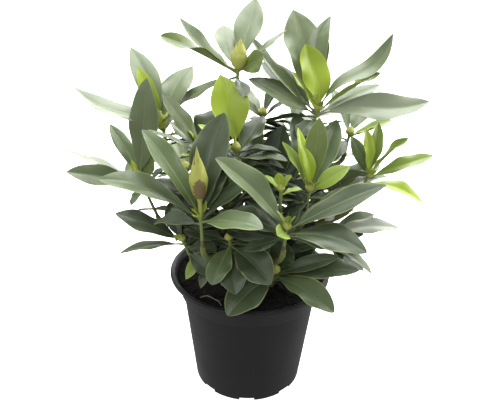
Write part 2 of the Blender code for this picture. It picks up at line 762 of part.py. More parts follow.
def main():
    for obj in list(bpy.data.objects):
        bpy.data.objects.remove(obj)
    parts = bpy.data.collections.new("potted_rhododendron")
    cutters = bpy.data.collections.new("cutters")
    bpy.context.scene.collection.children.link(parts)
    bpy.context.scene.collection.children.link(cutters)
    build_pot(parts, cutters)
    build_soil(parts)
    bark = material("bark")
    leaves = material("leaves")
    limbs, bodies = build_limbs()
    for name, (points, faces) in bodies.items():
        mesh_object("trunk" if name == "trunk" else f"bough_{name}", points, faces, parts, bark)
    kept = place_leaves(bodies)
    for name, shoot in SHOOTS.items():
        pieces = [stem_body(shoot), bud_body(shoot)]
        for foot, sizes in kept[name]:
            pieces.append(leaf_body(foot, sizes, shoot_axis(shoot)))
        fused(f"foliage_{name}", pieces, parts, leaves)


main()
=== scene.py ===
"""Potted rhododendron, its looks: fine leaves, scaly buds, bark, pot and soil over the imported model.

Sizes are in millimetres and become metres when a mesh is made. +Z is up, -Y is the front that the photo
shows, and the origin is the centre of the pot's base. A bearing turns from the front round to +X and a rise
is measured from level, both in degrees. The rule that places the limbs, shoots and leaves is the part's own,
written again here, so each leaf grows where the model has it.
"""

import json
import math
import random

import bpy
import numpy as np
from mathutils import Matrix, Vector, noise
from mathutils.bvhtree import BVHTree

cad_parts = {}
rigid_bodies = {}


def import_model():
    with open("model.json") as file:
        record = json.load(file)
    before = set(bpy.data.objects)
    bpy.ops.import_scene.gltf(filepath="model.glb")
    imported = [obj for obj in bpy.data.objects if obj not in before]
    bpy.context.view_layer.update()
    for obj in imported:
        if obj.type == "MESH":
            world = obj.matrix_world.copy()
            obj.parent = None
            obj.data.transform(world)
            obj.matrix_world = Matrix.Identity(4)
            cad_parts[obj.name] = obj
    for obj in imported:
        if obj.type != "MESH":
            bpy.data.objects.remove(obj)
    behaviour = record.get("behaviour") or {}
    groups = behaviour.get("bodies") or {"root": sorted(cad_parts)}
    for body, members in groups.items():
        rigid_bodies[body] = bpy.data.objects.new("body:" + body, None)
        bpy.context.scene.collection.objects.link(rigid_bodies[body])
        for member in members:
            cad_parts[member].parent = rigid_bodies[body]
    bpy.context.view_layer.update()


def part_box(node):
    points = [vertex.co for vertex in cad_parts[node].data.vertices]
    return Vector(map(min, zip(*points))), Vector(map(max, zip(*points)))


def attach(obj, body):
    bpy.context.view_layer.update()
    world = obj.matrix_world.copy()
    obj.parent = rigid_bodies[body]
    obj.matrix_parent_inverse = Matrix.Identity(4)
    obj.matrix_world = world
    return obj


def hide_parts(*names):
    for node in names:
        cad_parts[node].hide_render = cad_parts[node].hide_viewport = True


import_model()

MM = 0.001
SEED = 7068
GAP = 0.3

# Camera, fitted to the pot's rim, collar and foot in the photo
CAMERA_PLACE = (0.0, -809.7, 675.9)
CAMERA_PITCH = 25.62
CAMERA_ROLL = 1.42
CAMERA_LENS = 46.8
CAMERA_SENSOR = 36.0
CAMERA_SHIFT = -0.0033

# Pot, its outer sizes from the model
RIM_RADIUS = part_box("pot")[1].x / MM
POT_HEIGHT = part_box("pot")[1].z / MM
BASE_RADIUS = 79.0
LIP_HEIGHT = 5.0
LIP_WIDTH = 6.0
COLLAR_TOP_RADIUS = 107.0
COLLAR_FOOT_RADIUS = 100.5
COLLAR_FOOT = 147.0
WALL_TOP_RADIUS = 96.5
WALL = 1.8
FLOOR = 2.5
FOOT_ROUND = 5.0
NOTCHES = 8
NOTCH_WIDTH = 22.0
NOTCH_HEIGHT = 5.0
NOTCH_DEPTH = 6.0
NOTCH_ROUND = 1.5
POT_TURNS = 160

# Soil
SOIL_TOP = 167.5
SOIL_HUMP = 0.5
SOIL_BANK = 3.0
SOIL_LUMP = 2.2
LUMP_SPAN = 14
LUMP_FRACTAL = (0.9, 2.2, 4)
LUMP_FADE = 25
SOIL_SKIRT = 0.96
SOIL_RINGS = 44
SOIL_TURNS = 132
CRUMBS = 900
CRUMB_SIZES = (0.8, 3.4)
CRUMB_SIDES = 6
CRUMB_LEVELS = (-0.75, 0.0, 0.75)
CRUMB_PUSH = (0.7, 1.15)
CRUMB_HEIGHT = (0.6, 1.0)
CRUMB_FLATNESS = (0.5, 0.9)
FLECKS = 26
FLECK_SIZES = (0.5, 1.3)
ROOT_LIFT = 1.2
ROOT_ROWS = 24
ROOT_SIDES = 6
ROOT_RADII = (0.75, 0.45)
ROOT_PLACES = ((-67, -68), (-61, -64), (-56, -65), (-46, -70), (-41, -77), (-37, -84))

# Trunk, boughs and shoots
TRUNK_FOOT = (-3.0, 6.0, SOIL_TOP + SOIL_HUMP)
TRUNK_TIP = (0.0, 10.0, 226.0)
TRUNK_RADII = (8.5, 6.5)
TRUNK_FLARE = 3.5
FLARE_POWER = 6
BOUGH_SPAN = 0.36
BOUGH_INSET = 0.6
CLEARING_STEP = 0.05
LIMB_SIDES = 6
LIMB_STEPS = 6
SHOOT_RADII = (2.3, 1.9)
SHOOT_SIDES = 5
STEM_OVER = 2.0

# Leaves
PETIOLE = 0.1
PETIOLE_RADIUS = 1.1
PETIOLE_FADE = 5.0
LEAF_THICKNESS = 1.4
WIDEST_AT = 0.56
POINTED = 0.88
FOLD = 14.0
STATIONS = (0.0, 0.1, 0.35, 0.62, 0.84, 1.0)
WHORL_DEPTH = 12.0
GOLDEN_TURN = 137.5
BUD_PROFILE = ((0.0, 0.45), (0.12, 0.8), (0.35, 1.0), (0.62, 0.72), (0.85, 0.3))
FLOWER_PROFILE = ((0.0, 0.24), (0.22, 0.3), (0.4, 0.78), (0.55, 1.0), (0.78, 0.5))

# Small turns and lifts, in degrees, that a leaf may take to keep clear of its neighbours
NUDGES = [
    (0, 0), (4, 0), (-4, 0), (0, 4), (0, -4), (7, 3),
    (-7, 3), (7, -4), (-7, -4), (12, 0), (-12, 0), (0, 10),
]


def bearing_vector(bearing, rise):
    """The unit vector of a bearing and a rise."""
    b = math.radians(bearing)
    r = math.radians(rise)
    return np.array([math.sin(b) * math.cos(r), -math.cos(b) * math.cos(r), math.sin(r)])


def leaf(
    bearing, rise, length, width, roll=0, arch=0.05, ess=0.0,
    twist=0, hook=0.0, curl=0.0, point=POINTED, tone="grown",
):
    """One leaf's own sizes: where it points, how long and wide it is, how it bends and how its tip turns."""
    return dict(
        bearing=bearing, rise=rise, length=length, width=width, roll=roll,
        arch=arch, ess=ess, twist=twist, hook=hook, curl=curl, point=point, tone=tone,
    )


def ring(count, first, rise, length):
    """A full whorl by rule: count leaves round the shoot, each a little unlike the last."""
    rng = random.Random(SEED + first)
    leaves = []
    for i in range(count):
        leaves.append(leaf(
            (first + GOLDEN_TURN * i) % 360,
            rise + 9 * (i % 3) + rng.uniform(-4, 4),
            length * rng.uniform(0.82, 1.0),
            length * rng.uniform(0.28, 0.33),
            roll=rng.uniform(-15, 15),
            arch=rng.uniform(0.03, 0.09),
        ))
    return leaves


# Each shoot's whorl of leaves: its place, the bearing and lean of its axis, its length of green stem,
# its bud's length and radius, and its leaves
# Some leaves take tones that paint light: the pale and the lightest grey-green tones are painted sheen, the
# darkest tone partly painted shade
SHOOTS = {
    "top": dict(at=(-21, 0, 472), lean=(90, 4), stem=40, bud=(38, 10), leaves=[
        leaf(272, 24, 106, 34, roll=32, twist=80, point=0.7, tone="olive"),
        leaf(267, 38, 96, 28, roll=-15, arch=-0.06, curl=0.08),
        leaf(197, 30, 87, 36, point=0.95),
        leaf(160, 42, 114, 36, arch=0.03, hook=-0.08, point=1.15),
        leaf(56, 36, 46, 28, roll=70, arch=-0.08, tone="olive"),
        leaf(249, -30, 111, 22, roll=-35, arch=0.03, tone="grey"),
        leaf(128, 28, 90, 16, roll=-15, arch=0.02),
        leaf(10, -22, 42, 24, roll=-20, tone="deep"),
    ]),
    "back_top": dict(at=(12, 70, 388), lean=(180, 10), stem=30, bud=(14, 6), leaves=[
        leaf(300, 40, 50, 16, roll=-60),
        leaf(80, 14, 56, 14, tone="deep"),
        leaf(150, 40, 66, 20, tone="deep"),
        leaf(215, 25, 70, 22),
        leaf(110, 30, 60, 20, tone="deep"),
    ]),
    "up_left": dict(at=(-118, -10, 394), lean=(280, 12), stem=36, bud=(26, 7), leaves=[
        leaf(275, 23, 124, 34, roll=-25, twist=-30, arch=0.03, ess=0.04, curl=0.09, tone="pale"),
        leaf(211, 47, 125, 34, roll=10, hook=-0.05, point=1.05),
        leaf(246, 66, 82, 22, roll=-5, tone="young"),
        leaf(167, 43, 103, 42, roll=15, hook=0.16, point=1.1),
        leaf(8, 12, 27, 26, roll=15, arch=-0.15, tone="half"),
        leaf(185, 8, 80, 28),
    ]),
    "left": dict(at=(-149, -20, 324), lean=(285, 20), stem=62, bud=(22, 6), leaves=[
        leaf(56, 83, 140, 38, roll=70, arch=0.04, point=0.8, tone="grey"),
        leaf(223, 40, 93, 22, roll=10),
        leaf(252, 13, 119, 20, roll=25, arch=0.03, tone="pale"),
        leaf(289, 16, 98, 32, roll=-40),
        leaf(89, 71, 46, 28, roll=60, tone="olive"),
        leaf(200, 5, 80, 28),
        leaf(335, -25, 34, 16),
    ]),
    "centre_left": dict(at=(-62, -100, 312), lean=(330, 4), stem=46, bud=(94, 11), flower=True, leaves=[
        leaf(247, 53, 128, 36, roll=-5, arch=0.06, point=0.75),
        leaf(275, 28, 132, 42, roll=5, twist=30, arch=0.06, point=0.75),
        leaf(55, 12, 95, 36, roll=10, arch=0.1, point=0.7),
        leaf(152, 63, 132, 46, roll=10, point=0.8, tone="old"),
        leaf(345, 35, 26, 12, tone="young"),
        leaf(152, 38, 86, 30, tone="deep"),
        leaf(245, -12, 72, 36, tone="deep"),
        leaf(178, 45, 78, 30, tone="deep"),
        leaf(118, 24, 82, 30, tone="deep"),
    ]),
    "middle": dict(at=(-21, -40, 377), lean=(230, 8), stem=28, bud=(14, 5), leaves=[
        leaf(225, 71, 96, 50, roll=-25, arch=0.03, point=1.05, tone="young"),
        leaf(262, 35, 60, 20, roll=-20, tone="young"),
        leaf(150, 25, 74, 34, tone="deep"),
        leaf(75, 5, 66, 32, tone="deep"),
    ]),
    "middle_left": dict(at=(-64, -34, 369), lean=(250, 8), stem=30, bud=(14, 5), leaves=[
        leaf(153, 38, 78, 54, roll=10, tone="deep"),
        leaf(291, 31, 83, 14, roll=-15, tone="grey"),
        leaf(245, 49, 92, 26, roll=-15, arch=0.07, tone="grey"),
        leaf(235, 32, 66, 26, roll=5, tone="grey"),
        leaf(100, -5, 75, 34, tone="deep"),
        leaf(330, 20, 46, 22, tone="half"),
    ]),
    "upright": dict(at=(85, 30, 410), lean=(95, 8), stem=42, bud=(18, 6), leaves=[
        leaf(270, 77, 90, 42, roll=-65, arch=0.06, ess=0.05, point=0.75, tone="young"),
        leaf(208, 58, 142, 60, roll=-20, point=0.95),
        leaf(199, 65, 125, 34, roll=-15, hook=0.27),
        leaf(96, 41, 138, 30, roll=10, twist=-40, ess=0.06, curl=0.12, point=0.95),
        leaf(90, 34, 98, 24, roll=-50, twist=-100, tone="half"),
        leaf(109, 17, 98, 28, roll=15, curl=0.06, tone="pale"),
        leaf(78, 9, 148, 40, roll=40, ess=0.04, hook=-0.09, tone="pale"),
        leaf(263, 52, 135, 28, roll=-20, arch=-0.05),
        leaf(276, 30, 105, 32, roll=-35),
        leaf(240, 52, 65, 22, roll=-5, tone="young"),
        leaf(231, 31, 111, 36, roll=-25, tone="deep"),
        leaf(140, -5, 80, 28),
        leaf(185, 20, 95, 30),
        leaf(330, -20, 50, 24, tone="deep"),
    ]),
    "back_right": dict(at=(139, 80, 359), lean=(120, 10), stem=30, bud=(14, 6), leaves=[
        leaf(90, 25, 44, 20, tone="half"),
        leaf(90, 24, 66, 16, roll=30, tone="half"),
        leaf(150, 35, 80, 28),
        leaf(200, 40, 85, 28),
        leaf(260, 15, 70, 26),
    ]),
    "right": dict(at=(159, 10, 324), lean=(90, 18), stem=36, bud=(14, 6), leaves=[
        leaf(310, 78, 75, 20, roll=-65, tone="young"),
        leaf(157, 73, 75, 22, roll=-15, tone="half"),
        leaf(248, 65, 62, 22, roll=-45),
        leaf(90, 50, 75, 24, roll=-40, twist=-80, tone="half"),
        leaf(83, 24, 93, 26, roll=25, tone="half"),
        leaf(74, -12, 81, 28, roll=15, arch=0.08, tone="young"),
        leaf(165, 5, 80, 28),
    ]),
    "centre_right": dict(at=(75, -40, 323), lean=(40, 6), stem=36, bud=(16, 6), leaves=[
        leaf(309, 76, 67, 18, roll=-70, tone="young"),
        leaf(157, 77, 96, 30, roll=15, tone="olive"),
        leaf(256, 57, 76, 20, roll=-10, tone="half"),
        leaf(84, 39, 64, 28, roll=25, tone="half"),
        leaf(219, 72, 84, 16, roll=-5, tone="young"),
        leaf(151, 44, 110, 38, roll=-10),
        leaf(195, 50, 112, 38, tone="deep"),
        leaf(100, -5, 80, 32, tone="deep"),
    ]),
    "tulip": dict(at=(36, -80, 341), lean=(0, 4), stem=34, bud=(12, 4), leaves=[
        leaf(262, 45, 30, 12, tone="half"),
        leaf(330, 68, 28, 12, roll=40, tone="young"),
        leaf(60, 60, 28, 12, roll=40, tone="half"),
        leaf(90, 20, 27, 12, tone="half"),
    ]),
    "heart": dict(at=(24, -6, 293), lean=(300, 8), stem=34, bud=(12, 5), leaves=[
        leaf(158, 65, 103, 42, roll=10, tone="deep"),
        leaf(230, 63, 104, 44, roll=5),
        leaf(200, 40, 95, 36, tone="deep"),
        leaf(100, 20, 90, 32, tone="deep"),
        leaf(20, 30, 60, 28, tone="deep"),
        leaf(130, 40, 90, 32, tone="deep"),
    ]),
    "front": dict(at=(44, -100, 298), lean=(20, 10), stem=36, bud=(14, 5), leaves=[
        leaf(264, 47, 127, 40, roll=-15, arch=0.06, point=0.75),
        leaf(92, 30, 135, 34, roll=10, tone="deep"),
        leaf(112, 24, 120, 34, roll=-10, tone="deep"),
        leaf(66, 2, 104, 40, roll=15, arch=0.09, point=0.8, tone="deep"),
        leaf(339, 20, 34, 24, roll=-30, tone="half"),
        leaf(82, -8, 84, 36, roll=5, tone="deep"),
    ]),
    "low_right": dict(at=(104, -10, 241), lean=(80, 30), stem=30, bud=(12, 5), leaves=[
        # This leaf's near-white tone is painted sheen
        leaf(89, 9, 105, 32, roll=5, arch=0.08, tone="silver"),
        leaf(85, 8, 56, 24, roll=20, tone="grey"),
        leaf(55, -6, 58, 28, tone="deep"),
        leaf(59, -17, 84, 26, roll=5, tone="pale"),
        leaf(75, -30, 74, 26, roll=20),
        leaf(120, 10, 90, 30),
        leaf(30, -8, 50, 26, tone="deep"),
    ]),
    "low": dict(at=(33, -60, 211), lean=(10, 20), stem=26, bud=(16, 7), leaves=[
        leaf(48, -6, 103, 38, roll=5, point=0.7),
        leaf(325, -4, 103, 44, point=0.75),
        leaf(83, 8, 115, 38, tone="deep"),
        leaf(88, 20, 92, 24, roll=10, tone="deep"),
        leaf(150, 48, 46, 40, roll=-10, arch=-0.08, tone="green"),
        leaf(130, 15, 80, 30, tone="deep"),
    ]),
    "low_left": dict(at=(-28, -70, 265), lean=(330, 15), stem=34, bud=(12, 5), leaves=[
        leaf(330, -30, 62, 32, point=0.7),
        leaf(45, -19, 80, 46, roll=10, tone="deep"),
        leaf(10, -38, 68, 36, tone="deep"),
        leaf(110, 5, 60, 30, tone="deep"),
    ]),
    "soil_left": dict(at=(-48, -40, 230), lean=(300, 20), stem=26, bud=(10, 4), leaves=[
        leaf(310, -17, 56, 28, arch=0.12, tone="half"),
        leaf(325, -38, 50, 20, tone="deep"),
        leaf(240, 10, 60, 28, tone="deep"),
    ]),
    "left_low": dict(at=(-91, -50, 250), lean=(290, 20), stem=34, bud=(12, 5), leaves=[
        leaf(270, 24, 98, 36, roll=-5, tone="deep"),
        leaf(286, 1, 86, 24, roll=5),
        leaf(330, 45, 24, 10, tone="young"),
        leaf(200, 20, 80, 30, tone="deep"),
        leaf(60, 10, 50, 28, tone="deep"),
    ]),
    "inner": dict(at=(-32, -14, 286), lean=(320, 8), stem=28, bud=(14, 6), leaves=ring(8, 300, 32, 92)),
    "inner_right": dict(at=(114, 30, 288), lean=(100, 20), stem=30, bud=(14, 6), leaves=ring(7, 75, 24, 92)),
    "back_left": dict(at=(-98, 86, 292), lean=(235, 18), stem=34, bud=(20, 7), leaves=ring(7, 200, 12, 105)),
    "back_high": dict(at=(62, 118, 352), lean=(165, 25), stem=32, bud=(16, 6), leaves=[
        leaf(100, 12, 80, 26),
        leaf(145, 5, 90, 28),
        leaf(190, 0, 92, 28),
        leaf(230, 8, 62, 24),
        leaf(172, 36, 78, 26),
    ]),
    "back_high_left": dict(at=(-48, 98, 342), lean=(200, 25), stem=32, bud=(16, 6), leaves=[
        leaf(150, 4, 88, 28),
        leaf(195, 0, 92, 28),
        leaf(238, 4, 76, 26),
        leaf(180, 34, 70, 24),
    ]),
    "back": dict(at=(-24, 142, 280), lean=(190, 16), stem=34, bud=(22, 8), leaves=ring(8, 120, 16, 108)),
    "back_far_right": dict(
        at=(92, 130, 284), lean=(150, 18), stem=34, bud=(20, 7), leaves=ring(8, 60, 14, 105)),
    "back_low_left": dict(
        at=(-88, 62, 232), lean=(235, 35), stem=30, bud=(14, 6), leaves=ring(6, 140, 2, 95)),
    "back_low_right": dict(at=(82, 78, 236), lean=(130, 35), stem=30, bud=(14, 6), leaves=ring(6, 40, 2, 95)),
}

# Boughs: the limb that each one leaves, how far along, the bearing and rise it sets off at, and its radii
BOUGHS = {
    "top": ("trunk", 1.0, 0, 88, 5.2, 2.7),
    "upright": ("top", 0.16, 85, 40, 4.4, 2.7),
    "up_left": ("trunk", 0.84, 278, 34, 4.4, 2.7),
    "left": ("up_left", 0.3, 300, 25, 3.4, 2.6),
    "centre_left": ("trunk", 0.68, 325, 40, 4.4, 2.7),
    "middle": ("top", 0.5, 240, 50, 2.9, 2.5),
    "middle_left": ("centre_left", 0.32, 300, 70, 3.0, 2.5),
    "back_top": ("top", 0.36, 165, 45, 3.0, 2.5),
    "back_right": ("upright", 0.45, 150, 35, 3.0, 2.5),
    "back_high": ("top", 0.22, 160, 45, 3.0, 2.5),
    "back_high_left": ("top", 0.28, 215, 45, 3.0, 2.5),
    "right": ("trunk", 0.84, 95, 30, 4.4, 2.7),
    "centre_right": ("trunk", 0.7, 55, 45, 4.0, 2.7),
    "heart": ("top", 0.08, 130, 45, 3.2, 2.6),
    "inner": ("top", 0.05, 300, 30, 3.0, 2.5),
    "inner_right": ("right", 0.4, 80, 55, 2.9, 2.5),
    "front": ("trunk", 0.52, 12, 38, 4.2, 2.7),
    "tulip": ("front", 0.5, 350, 75, 3.0, 2.5),
    "low_right": ("trunk", 0.36, 92, 30, 3.6, 2.6),
    "low": ("trunk", 0.24, 40, 25, 3.6, 2.6),
    "low_left": ("trunk", 0.34, 332, 30, 3.6, 2.6),
    "soil_left": ("trunk", 0.14, 295, 30, 3.2, 2.5),
    "left_low": ("trunk", 0.5, 280, 30, 3.6, 2.6),
    "back_left": ("trunk", 0.72, 235, 40, 3.8, 2.6),
    "back": ("trunk", 0.8, 185, 45, 4.0, 2.6),
    "back_far_right": ("trunk", 0.68, 140, 42, 4.0, 2.6),
    "back_low_left": ("trunk", 0.34, 238, 30, 3.4, 2.6),
    "back_low_right": ("trunk", 0.32, 138, 28, 3.4, 2.6),
}

# Fine leaf: how its grid is cut, folded, waved and veined
LEAF_ROWS = 36
LEAF_COLUMNS = (-1.0, -0.93, -0.76, -0.56, -0.36, -0.16, 0.0, 0.16, 0.36, 0.56, 0.76, 0.93, 1.0)
OLD_ROWS = 24
OLD_COLUMNS = (-1.0, -0.92, -0.6, -0.3, 0.0, 0.3, 0.6, 0.92, 1.0)
BLADE_THICKNESS = 0.55
BLADE_SPREAD = 1.07
BLADE_FOLD = (0.28, 0.5)
BLADE_ROLL = (0.10, 0.24)
BLADE_WAVE = (0.05, 0.2)
BLADE_WAVES = (1.1, 2.3)
BLADE_SICKLE = 0.04
BLADE_DROOP = (-0.04, 0.05)
BLADE_OPENING = 5
BLADE_LEAST = 0.25
ROW_EASE = 0.35
PLAIN_BELOW = 40
VEINS = 8
VEIN_DEPTH = 0.4
VEIN_SWEEP = 0.14
VEIN_SHARPNESS = 8
VEIN_REACH = 0.95
VEIN_FULL = 6.0
RIB_ROWS = 22
RIB_SIDES = 8
RIB_RADII = (1.75, 1.2, 0.3)
RIB_END = 0.985
RIB_SUNK = 0.55

# Small sprouts beside the buds, by shoot
SPROUTS = {
    "middle_left": (
        leaf(262, 58, 36, 10, tone="young"),
        leaf(300, 64, 30, 9, tone="half"),
        leaf(180, 60, 30, 9, tone="half"),
    ),
    "centre_left": (
        leaf(300, 50, 20, 7, tone="young"),
        leaf(150, 60, 22, 8, tone="half"),
    ),
    "left": (
        leaf(10, 55, 24, 9, tone="young"),
        leaf(120, 60, 26, 9, tone="half"),
        leaf(250, 66, 28, 8, tone="young"),
    ),
    "up_left": (
        leaf(40, 60, 24, 9, tone="half"),
        leaf(120, 66, 26, 8, tone="young"),
    ),
    "upright": (
        leaf(20, 50, 24, 8, tone="half"),
        leaf(320, 60, 24, 8, tone="young"),
    ),
    "right": (
        leaf(20, 45, 26, 9, tone="young"),
        leaf(340, 62, 24, 8, tone="young"),
    ),
    "centre_right": (
        leaf(60, 55, 22, 8, tone="young"),
        leaf(0, 62, 20, 8, tone="half"),
    ),
    "front": (
        leaf(10, 66, 26, 8, tone="half"),
        leaf(60, 60, 24, 7, tone="half"),
        leaf(280, 64, 30, 7, tone="half"),
    ),
}

# Older leaves below each whorl: how often one is tried, how many a shoot keeps, and the range of their
# lengths, widths, rises and drops below the whorl. They turn inwards and stay within a radius and height
OLD_TRIES = 70
OLD_MOST = 10
OLD_LENGTH = (52.0, 88.0)
OLD_WIDTH = (0.32, 0.42)
OLD_RISE = (-18.0, 30.0)
OLD_ROLL = 25
OLD_ARCH = (0.02, 0.1)
OLD_DROP = (4.0, 26.0)
OLD_STEM_FOOT = 4
OLD_CLEARING = 3
OLD_REACH = 110.0
OLD_RADIUS = 112.0
OLD_CEILING = 385.0
OLD_BARE = ("top", "back_top", "tulip")

# Leaf tones: upper blade, underside, rib and margin, as plain colours dealt out by leaf. The two lightest
# grey-green tones are painted sheen and the two darkest are partly painted shade
TONES = {
    # Older leaves' own dark green, darkened further as painted shade for the crown's shaded inside
    "old": ((0.043, 0.062, 0.028), (0.085, 0.112, 0.052), (0.085, 0.112, 0.045), (0.095, 0.122, 0.052)),
    # Dark green, partly the leaves' own colour and partly painted shade for leaves lying in shadow
    "deep": ((0.049, 0.071, 0.032), (0.105, 0.136, 0.064), (0.108, 0.142, 0.055), (0.165, 0.205, 0.078)),
    "green": ((0.090, 0.128, 0.052), (0.155, 0.196, 0.088), (0.165, 0.208, 0.078), (0.205, 0.255, 0.092)),
    "grey": ((0.122, 0.160, 0.074), (0.180, 0.218, 0.112), (0.180, 0.216, 0.098), (0.200, 0.240, 0.105)),
    "blue": ((0.104, 0.142, 0.064), (0.165, 0.202, 0.102), (0.165, 0.202, 0.088), (0.185, 0.225, 0.094)),
    # Painted sheen: a light grey-green standing in for light glancing off the leaf
    "pale": ((0.190, 0.228, 0.140), (0.240, 0.275, 0.190), (0.240, 0.278, 0.175), (0.250, 0.290, 0.175)),
    # Painted sheen: a near-white green standing in for light reflected off the leaf
    "silver": ((0.310, 0.345, 0.260), (0.340, 0.370, 0.290), (0.340, 0.370, 0.280), (0.350, 0.385, 0.285)),
    "olive": ((0.130, 0.178, 0.048), (0.200, 0.250, 0.085), (0.200, 0.255, 0.080), (0.230, 0.300, 0.075)),
    "half": ((0.195, 0.275, 0.045), (0.260, 0.340, 0.070), (0.290, 0.370, 0.085), (0.310, 0.400, 0.070)),
    "young": ((0.330, 0.440, 0.036), (0.380, 0.480, 0.055), (0.420, 0.520, 0.088), (0.420, 0.520, 0.070)),
}
# Painted light by height: leaves on higher shoots take lighter grey tones, on lower shoots darker tones as
# painted shade
GROWN_TONES = (
    (370.0, ("grey", "grey", "blue")),
    (270.0, ("green", "green", "blue")),
    (0.0, ("deep", "green", "green")),
)
NOISE_SPAN = (0.3, 0.7)
MOTTLE_SPAN = (0.32, 0.68)
BLADE_SHINE = {"roughness": 0.36, "specular": 0.5}
DARK_SHINE = {"roughness": 0.4, "specular": 0.42}

# Buds: scales set round the bud by the golden turn
BUD_SCALES = 17
BUD_TURN = 100.0
BUD_CORE_SIDES = 12
BUD_CORE_ROWS = 24
BUD_CORE_SHARE = 0.84
SCALE_ROWS = 7
SCALE_COLUMNS = 7
SCALE_SPREAD = 62.0
SCALE_FEET = (0.0, 0.52)
SCALE_LENGTH = 0.5
SCALE_SHORTER = 0.25
SCALE_VARIES = (0.9, 1.1)
SCALE_BULGE = 0.25
SCALE_LIFT = 0.35
SCALE_LAYER = 0.9
FLOWER_FEET = (0.3, 0.34)
FLOWER_SCALE = 0.66
HUSKS = 2

# Limbs and green stems
LIMB_ROWS = 46
LIMB_TURNS = 16
LIMB_OVER = 1.5
LIMB_FOOT_SWELL = 0.3
STEM_ROWS = 14
STEM_TURNS = 12
STEM_BUMP = 0.05
STEM_SWELL = 1.35
STEM_BROWN = 0.2
BARK_RIDGE = 0.07
BARK_WAVES = ((3, 5, 0.5), (5, -9, 0.35), (7, 31, 0.3))
SCAR_HEIGHT = 0.16
SCAR_WIDTH = 1.6
SCARS = 7
GREEN_WOOD_FROM = 0.5
GREEN_WOOD_SWELL = 1.25

# Light and ground, in metres and watts: each light's place, size and power
FLOOR_SIZE = 14.0
SURROUND = 0.47
LIGHT_AIM = (0.0, 0.0, 0.3)
LIGHTS = {
    "back": ((0.4, 1.9, 1.3), (2.4, 1.6), 60.0),
    "left": ((-1.7, 0.3, 0.9), (1.0, 1.6), 14.0),
    "front": ((-0.9, -1.8, 1.5), (1.2, 1.2), 18.0),
    "right": ((1.7, 0.4, 0.9), (1.0, 1.6), 30.0),
    "top": ((0.1, 0.5, 2.2), (2.0, 1.6), 78.0),
}


def unit(vector):
    return vector / np.linalg.norm(vector)


def loft(rings):
    """Points and faces of a closed body through rings of points. A ring of one point is a tip."""
    points = np.vstack(rings)
    starts = np.cumsum([0] + [len(ring) for ring in rings])
    faces = []
    for low, high, start, above in zip(rings, rings[1:], starts, starts[1:]):
        count = max(len(low), len(high))
        for i in range(count):
            j = (i + 1) % count
            if len(high) == 1:
                faces.append((start + i, start + j, above))
            elif len(low) == 1:
                faces.append((start, above + j, above + i))
            else:
                faces.append((start + i, start + j, above + j))
                faces.append((start + i, above + j, above + i))
    if len(rings[0]) > 1:
        faces.append(tuple(range(len(rings[0])))[::-1])
    if len(rings[-1]) > 1:
        faces.append(tuple(range(starts[-2], starts[-1])))
    return points, faces


def across(direction):
    """Two unit vectors square to a direction and to each other."""
    side = np.cross(direction, (0.0, 1.0, 0.0) if abs(direction[1]) < 0.9 else (1.0, 0.0, 0.0))
    side = unit(side)
    return side, np.cross(direction, side)


def circle(centre, direction, radius, sides):
    u, v = across(direction)
    turns = [2 * math.pi * i / sides for i in range(sides)]
    return np.array([centre + radius * (math.cos(t) * u + math.sin(t) * v) for t in turns])


def bezier(p0, p1, p2, p3, t):
    s = 1 - t
    return s**3 * p0 + 3 * s * s * t * p1 + 3 * s * t * t * p2 + t**3 * p3


class Limb:
    """A tapering limb along a Bezier curve, from its foot to its tip."""

    def __init__(self, points, radii, flare=0.0):
        self.controls = [np.array(p, float) for p in points]
        self.radii = radii
        self.flare = flare

    def place(self, t):
        return bezier(*self.controls, t)

    def radius(self, t):
        return self.radii[0] + (self.radii[1] - self.radii[0]) * t + self.flare * (1 - t) ** FLARE_POWER

    def body(self):
        steps = [i / LIMB_STEPS for i in range(LIMB_STEPS + 1)]
        rings = []
        for t in steps:
            ahead = self.place(min(t + 0.02, 1.0)) - self.place(max(t - 0.02, 0.0))
            rings.append(circle(self.place(t), unit(ahead), self.radius(t), LIMB_SIDES))
        return loft(rings)


def search_tree(points, faces):
    """A tree that finds what touches a body and what lies nearest to it."""
    return BVHTree.FromPolygons([tuple(p) for p in points], faces)


class Placed:
    """The bodies placed so far, with a search tree for each, so that a new one can keep clear."""

    def __init__(self):
        self.items = []

    def add(self, owner, points, faces):
        self.items.append((owner, points.min(axis=0), points.max(axis=0), search_tree(points, faces)))

    def touches(self, owner, points, faces):
        low = points.min(axis=0) - GAP
        high = points.max(axis=0) + GAP
        tree = search_tree(points, faces)
        for other, other_low, other_high, other_tree in self.items:
            if other == owner or (low > other_high).any() or (high < other_low).any():
                continue
            if tree.overlap(other_tree):
                return True
        return False


def nearest_gap(points, tree):
    return min(tree.find_nearest(tuple(p))[3] for p in points)


def shoot_axis(shoot):
    bearing, lean = shoot["lean"]
    return bearing_vector(bearing, 90 - lean)


